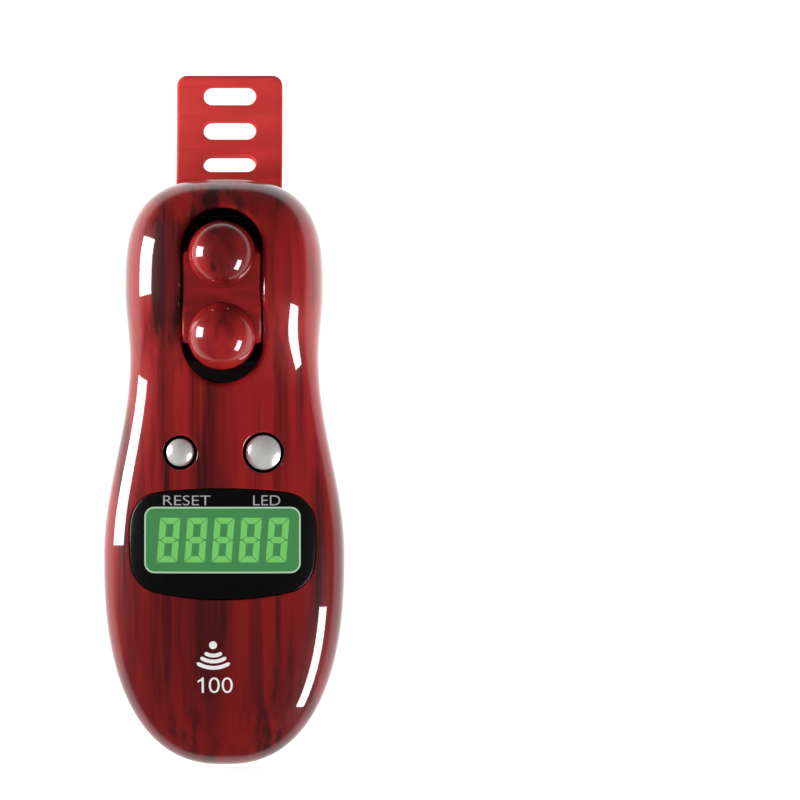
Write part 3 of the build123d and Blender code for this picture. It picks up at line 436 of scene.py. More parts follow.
@dataclass(frozen=True)
class Metal(Finish):
    """Metal, polished or with fine machining marks."""

    shade: Tint = Tint.STEEL
    worn: Tint = Tint.STEEL_DULL
    roughness: float = 0.28
    metallic: float = 1.0
    marks: tuple[float, float, float] = (2200.0, 300.0, 300.0)
    cloud: float = 140.0
    uneven: float = 0.4
    smoothest: float = 0.03

    def dress(self, graph: Graph) -> None:
        """Bright metal with uneven polish.

        Args:
            graph: the empty tree of the material.
        """
        marks = graph.noise(self.marks, shift=(0.2, 0.2, 0.6), detail=2.0, warp=0.0)
        cloud = graph.noise((self.cloud,) * 3, shift=(0.7, 0.3, 0.1), detail=2.0, warp=0.4).step(0.4, 0.75)
        rough = self.roughness + (marks - 0.5) * self.uneven * self.roughness
        graph.surface({
            "Base Color": graph.mix(cloud, self.shade.value, self.worn.value),
            "Metallic": self.metallic,
            "Roughness": rough.at_least(self.smoothest),
        })


@dataclass(frozen=True)
class Ink(Finish):
    """Printed ink with slightly uneven cover."""

    shade: Tint = Tint.INK_WHITE
    thin: Tint = Tint.INK_GREY
    roughness: float = 0.4
    coat: float = 0.0
    patches: float = 700.0
    thinning: float = 0.4
    rough_thin: float = 0.1

    def dress(self, graph: Graph) -> None:
        """Ink that is a little thinner in places.

        Args:
            graph: the empty tree of the material.
        """
        noise = graph.noise((self.patches,) * 3, shift=(0.3, 0.6, 0.2), detail=2.0, warp=0.2)
        cover = noise.step(0.55, 0.85)
        graph.surface({
            "Base Color": graph.mix(cover * self.thinning, self.shade.value, self.thin.value),
            "Roughness": self.roughness + cover * self.rough_thin,
            "Coat Weight": self.coat,
            "Coat Roughness": 0.03,
            "Specular IOR Level": 0.2,
        })


@dataclass(frozen=True)
class Lit(Finish):
    """Layer that gives its own light: the backlit display, and prints that are given a painted glow."""

    shade: Tint = Tint.LCD_FIELD
    glow: float = 1.0
    patches: float = 45.0
    dimmest: float = 0.93

    def dress(self, graph: Graph) -> None:
        """Even light with the faint unevenness of a side-lit panel.

        Args:
            graph: the empty tree of the material.
        """
        uneven = graph.noise((self.patches,) * 3, shift=(0.2, 0.8, 0.4), detail=1.0, warp=0.0).step(0.2, 0.8)
        dimmer = tuple(self.dimmest * part for part in self.shade.value[:3]) + (1.0,)
        light = graph.mix(uneven, self.shade.value, dimmer)
        graph.surface({
            "Base Color": Tint.INK_BLACK.value,
            "Roughness": 0.5,
            "Specular IOR Level": 0.1,
            "Emission Color": light,
            "Emission Strength": self.glow,
        })


@dataclass(frozen=True)
class ClearPane(Finish):
    """Clear window plastic with a polished face."""

    ripple: float = 90.0
    roughest: float = 0.02

    def dress(self, graph: Graph) -> None:
        """Clear plastic with a trace of surface ripple.

        Args:
            graph: the empty tree of the material.
        """
        ripple = graph.noise((self.ripple,) * 3, shift=(0.1, 0.1, 0.1), detail=1.0, warp=0.0)
        graph.surface({
            "Base Color": Tint.CLEAR.value,
            "Roughness": ripple * self.roughest,
            "IOR": 1.45,
            "Transmission Weight": 1.0,
        })


class Finishes:
    """The finishes of this object, and the one for each slot of the record."""

    CASE = WoodPrint("case_wood_print")
    BEAD = WoodPrint(
        "bead_wood_print", across=(110.0, 120.0, 60.0), shift=(0.1, 0.55, 0.3), dark_from=0.47, dark_to=0.80,
        band=0.12,
    )
    DRUM = WoodPrint(
        "drum_wood_print", across=(22.0, 120.0, 150.0), shift=(0.6, 0.1, 0.8), dark_from=0.5, dark_to=0.9,
        band=0.12,
    )
    STRAP = Moulded(
        "strap_silicone", Tint.SILICONE, Tint.SILICONE_WORN, roughness=0.62, grain=1400.0, relief_mm=0.006,
        specular=0.3,
    )
    CHROME = Metal("button_chrome", Tint.CHROME, Tint.CHROME, roughness=0.24, metallic=0.55)
    STEEL = Metal("plain_steel")
    BRASS = Metal("bush_brass", Tint.BRASS, Tint.BRASS, roughness=0.3)
    MASK = Ink("window_black_gloss", Tint.INK_BLACK, Tint.INK_BLACK, roughness=0.3, coat=0.5)
    WHITE_INK = Ink("case_white_ink", Tint.INK_WHITE, Tint.INK_GREY, coat=0.5)
    # painted glow: the printed labels give their own grey light instead of being lit by the lamps
    LABEL_PAINTED_GLOW = Lit("label_ink_painted_glow", Tint.INK_GREY, 0.62)
    PANE = ClearPane("window_pane")
    LCD_FIELD = Lit("lcd_field", Tint.LCD_FIELD)
    LCD_DIGIT = Lit("lcd_digit", Tint.LCD_DIGIT)
    # painted glow: the pale frame line is a print that gives its own light
    LCD_FRAME_PAINTED_GLOW = Lit("frame_line_painted_glow", Tint.LCD_FRAME_PAINTED_GLOW)
    BOARD = Moulded("board_mask", Tint.BOARD, Tint.BOARD_DARK, roughness=0.35, relief_mm=0.004)
    BLACK = Moulded("black_plastic")
    WHITE = Moulded("white_plastic", Tint.WHITE, Tint.WHITE_SHADE, roughness=0.45)
    RUBBER = Moulded("dark_rubber", Tint.RUBBER, Tint.BLACK, roughness=0.7, specular=0.2)

    BY_SLOT = {
        "case_red": CASE,
        "bead_red": BEAD,
        "polished_metal": CHROME,
        "window_black": MASK,
        "lcd_green": LCD_FIELD,
        "white_plastic": WHITE,
        "dark_rubber": RUBBER,
        "board_green": BOARD,
        "black_plastic": BLACK,
        "steel": STEEL,
        "bush_brass": BRASS,
        "strap_red": STRAP,
    }


def loft(rings: Sequence[Sequence[Vector]], caps: bool = True) -> BMesh:
    """Skin over closed rings of equal counts, from a grid that is moved onto them.

    Args:
        rings: rings of points in order; a ring of equal points closes to a pole.
        caps: whether open ends are filled.

    Returns:
        The skinned mesh, with its faces outwards.
    """
    count = len(rings[0])
    last = len(rings) - 1
    mesh = bmesh.new()
    bmesh.ops.create_grid(mesh, x_segments=count, y_segments=last, size=1.0)
    for vert in mesh.verts:
        column = round((vert.co.x + 1.0) / 2.0 * count)
        row = round((vert.co.y + 1.0) / 2.0 * last)
        vert.co = rings[row][column % count]
    bmesh.ops.remove_doubles(mesh, verts=mesh.verts, dist=WELD)
    if caps:
        bmesh.ops.holes_fill(mesh, edges=[edge for edge in mesh.edges if edge.is_boundary], sides=0)
    bmesh.ops.recalc_face_normals(mesh, faces=mesh.faces)
    return mesh


def turned(profile: Sequence[tuple[float, float]], centre: Vector, axis: Vector, steps: int = 64) -> BMesh:
    """Round piece spun from a profile.

    Args:
        profile: points of radius and height along the axis.
        centre: point on the axis at height 0.
        axis: unit vector along the axis.
        steps: segments of the full turn.

    Returns:
        The closed round mesh.
    """
    mesh = bmesh.new()
    side = axis.orthogonal().normalized()
    verts = [mesh.verts.new(centre + side * radius + axis * height) for radius, height in profile]
    edges = [mesh.edges.new(pair) for pair in zip(verts, verts[1:])]
    bmesh.ops.spin(
        mesh, geom=verts + edges, cent=centre, axis=axis, angle=2 * math.pi, steps=steps, use_merge=True
    )
    bmesh.ops.remove_doubles(mesh, verts=mesh.verts, dist=WELD)
    bmesh.ops.recalc_face_normals(mesh, faces=mesh.faces)
    return mesh


def joined(body: BMesh, others: Sequence[BMesh], how: Join) -> BMesh:
    """Cut meshes out of a body, or add them to it.

    Args:
        body: mesh that is worked on; it is used up.
        others: meshes that cut or add; they are used up.
        how: whether the others are cut out or added.

    Returns:
        The new mesh.
    """
    helpers = []
    for mesh in [body, *others]:
        data = bpy.data.meshes.new("helper")
        mesh.to_mesh(data)
        mesh.free()
        helper = bpy.data.objects.new("helper", data)
        bpy.context.scene.collection.objects.link(helper)
        helpers.append(helper)
    for helper in helpers[1:]:
        cut = helpers[0].modifiers.new("cut", "BOOLEAN")
        cut.operation = how.value
        cut.solver = "EXACT"
        cut.object = helper
    graph = bpy.context.evaluated_depsgraph_get()
    result = bmesh.new()
    result.from_object(helpers[0], graph)
    for helper in helpers:
        data = helper.data
        bpy.data.objects.remove(helper)
        bpy.data.meshes.remove(data)
    bmesh.ops.remove_doubles(result, verts=result.verts, dist=WELD / 4)
    bmesh.ops.dissolve_degenerate(result, edges=result.edges, dist=WELD / 4)
    return result


def merged(meshes: Sequence[BMesh]) -> BMesh:
    """Several meshes in one, each as it is.

    Args:
        meshes: the meshes; they are used up.

    Returns:
        The new mesh.
    """
    result = bmesh.new()
    for mesh in meshes:
        data = bpy.data.meshes.new("helper")
        mesh.to_mesh(data)
        mesh.free()
        result.from_mesh(data)
        bpy.data.meshes.remove(data)
    return result


def printed(mesh: BMesh, skin: Skin) -> BMesh:
    """Lay a flat print on a skin.

    Args:
        mesh: print drawn in x and z, with y as its height.
        skin: y of the skin at a place across and a height.

    Returns:
        The same mesh, with its face just proud of the skin.
    """
    for vert in mesh.verts:
        vert.co.y = skin(vert.co.x, vert.co.z) + (-INK_PROUD if vert.co.y < 0 else INK_SINK)
    return mesh


def lettering(words: str, x: float, z: float, width: float, height: float) -> BMesh:
    """Plain letters or numerals as a thin mesh in x and z, with y as its height.

    Args:
        words: the letters.
        x: centre across.
        z: centre height.
        width: full width.
        height: height of the letters.

    Returns:
        The thin mesh about y = 0.
    """
    curve = bpy.data.curves.new("helper", "FONT")
    curve.body = words
    curve.extrude = INK_HALF
    curve.offset = -LETTER_THINNING
    curve.resolution_u = LETTER_STEPS
    helper = bpy.data.objects.new("helper", curve)
    bpy.context.scene.collection.objects.link(helper)
    graph = bpy.context.evaluated_depsgraph_get()
    data = bpy.data.meshes.new_from_object(helper.evaluated_get(graph))
    mesh = bmesh.new()
    mesh.from_mesh(data)
    bpy.data.objects.remove(helper)
    bpy.data.curves.remove(curve)
    bpy.data.meshes.remove(data)
    bmesh.ops.remove_doubles(mesh, verts=mesh.verts, dist=WELD / 4)
    low = Vector(min(vert.co[axis] for vert in mesh.verts) for axis in range(3))
    high = Vector(max(vert.co[axis] for vert in mesh.verts) for axis in range(3))
    for vert in mesh.verts:
        across = (vert.co.x - low.x) / (high.x - low.x) - 0.5
        up = (vert.co.y - low.y) / (high.y - low.y) - 0.5
        vert.co = (x + across * width, -vert.co.z, z + up * height)
    bmesh.ops.recalc_face_normals(mesh, faces=mesh.faces)
    return mesh


def unit(turn: float) -> Vector:
    """Unit vector in two dimensions at an angle in radians."""
    return Vector((math.cos(turn), math.sin(turn)))


def level_ring(points: Sequence[Vector], y: float) -> list[Vector]:
    """Points of an outline at one depth."""
    return [Vector((p.x, y, p.y)) for p in points]


def skin_ring(points: Sequence[Vector], skin: Skin, shift: float = 0.0) -> list[Vector]:
    """Points of an outline on a skin, shifted along y."""
    return [Vector((p.x, skin(p.x, p.y) + shift, p.y)) for p in points]


@dataclass
class Piece:
    """One finished piece: its mesh, its finish and what it stands for."""

    name: str
    mesh: BMesh
    finish: Finish
    slot: str
    body: str = "case"
    replaces: tuple[str, ...] = ()
    crease_deg: float = 34.0
    blend: tuple[str, str, Vector, Vector] | None = None

    def place(self) -> None:
        """Turn the mesh into an object of the shared frame."""
        bmesh.ops.transform(self.mesh, matrix=TO_ROW, verts=self.mesh.verts)
        crease = math.radians(self.crease_deg)
        for face in self.mesh.faces:
            face.smooth = True
        for edge in self.mesh.edges:
            edge.smooth = len(edge.link_faces) == 2 and edge.calc_face_angle(0.0) < crease
        data = bpy.data.meshes.new(self.name)
        self.mesh.to_mesh(data)
        self.mesh.free()
        made = bpy.data.objects.new(self.name, data)
        bpy.context.scene.collection.objects.link(made)
        data.materials.append(self.finish.material())
        if self.blend is None:
            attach(made, self.body)
        else:
            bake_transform(made)
        if self.replaces:
            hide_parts(*self.replaces)
        log.info("%s: %d faces", self.name, len(data.polygons))


def ease(z: float, low_z: float, high_z: float, low: float, high: float) -> float:
    """Smooth step from low to high between two heights."""
    share = min(1.0, max(0.0, (z - low_z) / (high_z - low_z)))
    return low + (high - low) * (1 - math.cos(math.pi * share)) / 2


def soft_min(first: float, second: float, blend: float) -> float:
    """The smaller of two depths, with a rounded change between them."""
    share = max(0.0, blend - abs(first - second)) / blend
    return min(first, second) - share * share * blend / 4


def fullness_reach(turn: float, fullness: float) -> float:
    """Reach along a rounded end at one angle, so that points are evenly spread over it."""
    spread = (math.cos(turn) ** fullness + math.sin(turn) ** fullness) ** (-1 / fullness)
    return spread * math.sin(turn)


@dataclass
class CaseForm:
    """Outer form of the case, with the same sizes as its solids."""

    length: float = 90.0
    lower_width: float = 37.0
    waist_width: float = 29.0
    upper_width: float = 30.4
    lower_front: float = 8.9
    neck_front: float = 8.1
    upper_front: float = 12.2
    lower_rear: float = 9.3
    upper_rear: float = 11.5
    lower_z: float = 32.0
    ramp_z: float = 46.0
    neck_z: float = 58.0
    waist_z: float = 62.5
    upper_z: float = 73.0
    front_fullness: float = 2.7
    rear_fullness: float = 3.4
    lower_dome: float = 2.4
    upper_dome: float = 2.9
    upper_rear_dome: float = 5.0
    end_gap: float = 0.07
    wall: float = 2.0
    seam: float = 0.16
    seam_ease: float = 0.14
    flat_back: float = 8.6
    flat_top_z: float = 45.0
    runout_deg: float = 17.0
    saddle_radius: float = 16.0
    saddle_floor: float = 7.5
    saddle_z: float = 74.0
    wheel_z: float = 72.0
    pin_z: float = 56.2
    edge_blend: float = 1.4
    across: int = 112
    lower_steps: int = 46
    middle_steps: int = 52
    upper_steps: int = 36

    def share(self, z: float, inset: float, upper: float) -> float:
        """Share of the full section that is left near the two ends.

        Args:
            z: height.
            inset: distance by which the form is drawn in.
            upper: fullness of the upper end.

        Returns:
            A number from 0 at an end to 1.
        """
        inset = inset + self.end_gap
        if z < self.lower_z:
            reach = min(1.0, (self.lower_z - z) / (self.lower_z - inset))
            return (1 - reach**self.lower_dome) ** (1 / self.lower_dome)
        reach = min(1.0, max(0.0, (z - self.upper_z) / (self.length - inset - self.upper_z)))
        return (1 - reach**upper) ** (1 / upper)

    def half_width(self, z: float, inset: float = 0.0) -> float:
        """Half the width at one height.

        Args:
            z: height.
            inset: distance by which the form is drawn in.

        Returns:
            The half width.
        """
        if z < self.waist_z:
            width = ease(z, self.lower_z, self.waist_z, self.lower_width, self.waist_width)
        else:
            width = ease(z, self.waist_z, self.upper_z, self.waist_width, self.upper_width)
        return (width / 2 - inset) * self.share(z, inset, self.upper_dome)

    def depth(self, z: float, side: Side, inset: float = 0.0) -> float:
        """Depth of one half at one height, before the saddle and the flat back.

        Args:
            z: height.
            side: half of the case.
            inset: distance by which the form is drawn in.

        Returns:
            The depth from the parting plane.
        """
        if side is Side.REAR:
            full = ease(z, self.ramp_z, self.neck_z, self.lower_rear, self.upper_rear)
            return (full - inset) * self.share(z, inset, self.upper_rear_dome)
        if z < self.neck_z:
            full = ease(z, self.lower_z, self.neck_z, self.lower_front, self.neck_front)
        else:
            full = ease(z, self.neck_z, self.upper_z, self.neck_front, self.upper_front)
        return (full - inset) * self.share(z, inset, self.upper_dome)

    def rear_limit(self, z: float) -> float:
        """Depth to which the flat back and the saddle cut the rear half.

        Args:
            z: height.

        Returns:
            The depth from the parting plane.
        """
        flat = self.flat_back + max(0.0, z - self.flat_top_z) * math.tan(math.radians(self.runout_deg))
        rise = min(1.0, abs(z - self.saddle_z) / self.saddle_radius)
        saddle = self.saddle_floor + self.saddle_radius * (1 - math.sqrt(1 - rise * rise))
        return min(flat, saddle)

    def skin(self, side: Side, x: float, z: float) -> float:
        """y of the outer skin at one point.

        Args:
            side: half of the case.
            x: place across.
            z: height.

        Returns:
            The depth, negative in front.
        """
        fullness = self.rear_fullness if side is Side.REAR else self.front_fullness
        share = min(1.0, abs(x) / max(self.half_width(z), WELD))
        depth = self.depth(z, side) * (1 - share**fullness) ** (1 / fullness)
        if side is Side.REAR:
            depth = soft_min(depth, self.rear_limit(z), self.edge_blend)
        return side.value * depth

    def front_skin(self, x: float, z: float) -> float:
        """y of the front skin."""
        return self.skin(Side.FRONT, x, z)

    def rear_skin(self, x: float, z: float) -> float:
        """y of the rear skin."""
        return self.skin(Side.REAR, x, z)

    def heights(self, inset: float) -> list[float]:
        """Heights of the rings, evenly spread over the rounded ends.

        Args:
            inset: distance by which the form is drawn in.

        Returns:
            The heights from the lower to the upper end.
        """
        inset = inset + self.end_gap
        low_turns = [math.pi / 2 * (1 - step / self.lower_steps) for step in range(self.lower_steps)]
        high_turns = [math.pi / 2 * (step + 1) / self.upper_steps for step in range(self.upper_steps)]
        drop = self.lower_z - inset
        low = [self.lower_z - drop * fullness_reach(turn, self.lower_dome) for turn in low_turns]
        pitch = (self.upper_z - self.lower_z) / self.middle_steps
        middle = [self.lower_z + pitch * step for step in range(self.middle_steps + 1)]
        reach = self.length - inset - self.upper_z
        high = [self.upper_z + reach * fullness_reach(turn, self.upper_dome) for turn in high_turns]
        return low + middle + high

    def arc(self, z: float, side: Side, inset: float) -> list[Vector]:
        """Half a section from the right to the left.

        Args:
            z: height.
            side: half of the case.
            inset: distance by which the form is drawn in.

        Returns:
            Points of the half section.
        """
        fullness = self.rear_fullness if side is Side.REAR else self.front_fullness
        width = max(0.0, self.half_width(z, inset))
        depth = max(0.0, self.depth(z, side, inset))
        foot = min(self.seam / 2, depth)
        points = []
        for step in range(self.across + 1):
            turn = math.pi * step / self.across
            spread = (abs(math.cos(turn)) ** fullness + math.sin(turn) ** fullness) ** (-1 / fullness)
            y = foot + (depth - foot) * spread * math.sin(turn)
            if side is Side.REAR:
                y = soft_min(y, max(foot, self.rear_limit(z) - inset), self.edge_blend)
            points.append(Vector((width * spread * math.cos(turn), side.value * y, z)))
        return points

    def shell(self, side: Side) -> BMesh:
        """Hollow half of the case with an eased parting edge.

        Args:
            side: half of the case.

        Returns:
            A closed mesh with a wall.
        """
        rings = []
        for z, inner_z in zip(self.heights(0.0), self.heights(self.wall)):
            outer = self.arc(z, side, 0.0)
            inner = self.arc(inner_z, side, self.wall)
            share = self.share(z, 0.0, self.upper_dome)
            eased = self.seam_ease * share
            starts = []
            for point in (outer[0], outer[-1]):
                inward = math.copysign(eased, point.x)
                starts.append(Vector((point.x - inward, point.y, z)))
                point.y += side.value * eased
            rings.append([starts[0], *outer, starts[1], *reversed(inner)])
        return loft(rings)


@dataclass
class Outline:
    """Closed outline in x and z, counter-clockwise seen from the front."""

    points: list[Vector]

    def grown(self, offset: float) -> list[Vector]:
        """Points of the outline moved outwards.

        Args:
            offset: distance of the move.

        Returns:
            The moved points.
        """
        count = len(self.points)
        moved = []
        for index, point in enumerate(self.points):
            along = self.points[(index + 1) % count] - self.points[index - 1]
            moved.append(point + Vector((along.y, -along.x)).normalized() * offset)
        return moved

    def dense(self, step: float) -> "Outline":
        """The same outline with points added along its long sides.

        Args:
            step: spacing of the points.

        Returns:
            The new outline.
        """
        points = []
        for first, second in zip(self.points, self.points[1:] + self.points[:1]):
            count = max(1, round((second - first).length / step))
            points += [first.lerp(second, index / count) for index in range(count)]
        return Outline(points)

    def cast(self, middle: Vector, point: Vector) -> Vector:
        """Point of the outline that a line from a middle through another point meets.

        Args:
            middle: point inside the outline.
            point: point that gives the direction.

        Returns:
            The point on the outline.
        """
        way = point - middle
        for first, second in zip(self.points, self.points[1:] + self.points[:1]):
            a, b = first - middle, second - middle
            low, high = way.cross(a), way.cross(b)
            if low <= 0 < high and way.dot(a + b) > 0:
                return middle + a.lerp(b, low / (low - high))
        raise ValueError("the middle is outside the outline")

    @staticmethod
    def circle(x: float, z: float, radius: float, count: int = 64) -> "Outline":
        """Round outline."""
        turns = [2 * math.pi * step / count for step in range(count)]
        return Outline([Vector((x, z)) + unit(turn) * radius for turn in turns])

    @staticmethod
    def rounded(
        x: float, z: float, width: float, height: float, corner: float, steps: int = 12
    ) -> "Outline":
        """Rounded rectangle.

        Args:
            x: centre across.
            z: centre height.
            width: full width.
            height: full height.
            corner: corner radius.
            steps: points of each corner.

        Returns:
            The outline.
        """
        points = []
        for corner_turn, (side, level) in enumerate(((1, -1), (1, 1), (-1, 1), (-1, -1))):
            middle = Vector((x + side * (width / 2 - corner), z + level * (height / 2 - corner)))
            for step in range(steps + 1):
                turn = math.pi / 2 * (corner_turn - 1 + step / steps)
                points.append(middle + unit(turn) * corner)
        return Outline(points)


def stacked(outline: Outline, levels: Levels, base: float = 0.0) -> BMesh:
    """Solid along y that has an outline grown by an offset at each depth from a base."""
    return loft([level_ring(outline.grown(offset), base + y) for offset, y in levels])


def cylinder(x: float, z: float, radius: float, low_y: float, high_y: float) -> BMesh:
    """Plain round bar along y, for cuts and bosses."""
    return stacked(Outline.circle(x, z, radius, BAR_SIDES), ((0.0, low_y), (0.0, high_y)))


@dataclass
class Opening:
    """Hole in the case with a rounded lip."""

    outline: Outline
    skin: Skin
    side: Side
    lip: float
    floor_y: float
    lip_steps: int = 8
    lip_end_deg: float = 80.0
    flare: float = 0.3

    def cutter(self) -> BMesh:
        """Mesh that cuts the hole and rounds its lip.

        Returns:
            A closed mesh that flares at the skin.
        """
        out = self.side.value
        rings = [level_ring(self.outline.points, self.floor_y)]
        end = math.radians(self.lip_end_deg)
        for step in range(self.lip_steps + 1):
            turn = end * step / self.lip_steps
            points = self.outline.grown(self.lip * (1 - math.cos(turn)))
            rings.append(skin_ring(points, self.skin, -out * (self.lip * (1 - math.sin(turn)))))
        beyond = self.lip + self.flare
        rise = beyond / math.tan(end) - self.lip * (1 - math.sin(end))
        edge = self.outline.grown(self.lip * (1 - math.cos(end)) + beyond)
        rings += [skin_ring(edge, self.skin, out * rise), level_ring(edge, out * FAR)]
        return loft(rings)


@dataclass
class WindowShape:
    """Outline of the display window: arched top, fuller bottom and bowed sides."""

    width: float = 28.3
    height: float = 16.8
    z: float = 34.2
    top_rise: float = 1.1
    bottom_rise: float = 1.9
    side_bulge: float = 0.9
    corner: float = 4.9
    steps: int = 20

    def outline(self) -> Outline:
        """Work out the outline from its four arcs and their fillets.

        Returns:
            The outline, counter-clockwise from the lower end of the right side.
        """
        side = self.width / 2 - self.side_bulge
        top = self.z + self.height / 2 - self.top_rise
        bottom = self.z - self.height / 2 + self.bottom_rise
        half_side = (top - bottom) / 2
        side_radius = (half_side**2 + self.side_bulge**2) / (2 * self.side_bulge)
        side_centre = Vector((side + self.side_bulge - side_radius, (top + bottom) / 2))
        top_radius = (side**2 + self.top_rise**2) / (2 * self.top_rise)
        top_centre = Vector((0.0, top + self.top_rise - top_radius))
        bottom_radius = (side**2 + self.bottom_rise**2) / (2 * self.bottom_rise)
        bottom_centre = Vector((0.0, bottom - self.bottom_rise + bottom_radius))
        high = self.fillet(side_centre, side_radius, top_centre, top_radius, 1.0)
        low = self.fillet(side_centre, side_radius, bottom_centre, bottom_radius, -1.0)
        right = self.arc(side_centre, side_radius, low - side_centre, high - side_centre)
        right += self.arc(high, self.corner, high - side_centre, high - top_centre)
        over = self.arc(top_centre, top_radius, high - top_centre, Vector((-high.x, high.y)) - top_centre)
        left = [Vector((-p.x, p.y)) for p in reversed(right)]
        low_left = Vector((-low.x, low.y))
        left_centre = Vector((-side_centre.x, side_centre.y))
        under = self.arc(low_left, self.corner, low_left - left_centre, low_left - bottom_centre)
        under += self.arc(bottom_centre, bottom_radius, low_left - bottom_centre, low - bottom_centre)
        under += self.arc(low, self.corner, low - bottom_centre, low - side_centre)
        return Outline(right + over + left + under)

    def fillet(
        self, first: Vector, first_radius: float, second: Vector, second_radius: float, way: float
    ) -> Vector:
        """Centre of the fillet inside two circles.

        Args:
            first: centre of the side's circle.
            first_radius: its radius.
            second: centre of the top's or bottom's circle.
            second_radius: its radius.
            way: 1 for the upper fillet and -1 for the lower one.

        Returns:
            The centre on the right side.
        """
        a = first_radius - self.corner
        b = second_radius - self.corner
        gap = second - first
        along = (a * a - b * b + gap.length_squared) / (2 * gap.length)
        off = math.sqrt(a * a - along * along)
        line = gap.normalized()
        foot = first + line * along
        sides = [foot + Vector((-line.y, line.x)) * off * sign for sign in (1, -1)]
        return max(sides, key=lambda point: (point.x > 0, way * point.y))

    def arc(self, centre: Vector, radius: float, start: Vector, end: Vector) -> list[Vector]:
        """Points of an arc, counter-clockwise, without its last one.

        Args:
            centre: centre of the arc.
            radius: its radius.
            start: direction of its first point.
            end: direction of its last point.

        Returns:
            The points.
        """
        first = math.atan2(start.y, start.x)
        last = math.atan2(end.y, end.x)
        sweep = (last - first) % (2 * math.pi)
        turns = [first + sweep * step / self.steps for step in range(self.steps)]
        return [centre + unit(turn) * radius for turn in turns]


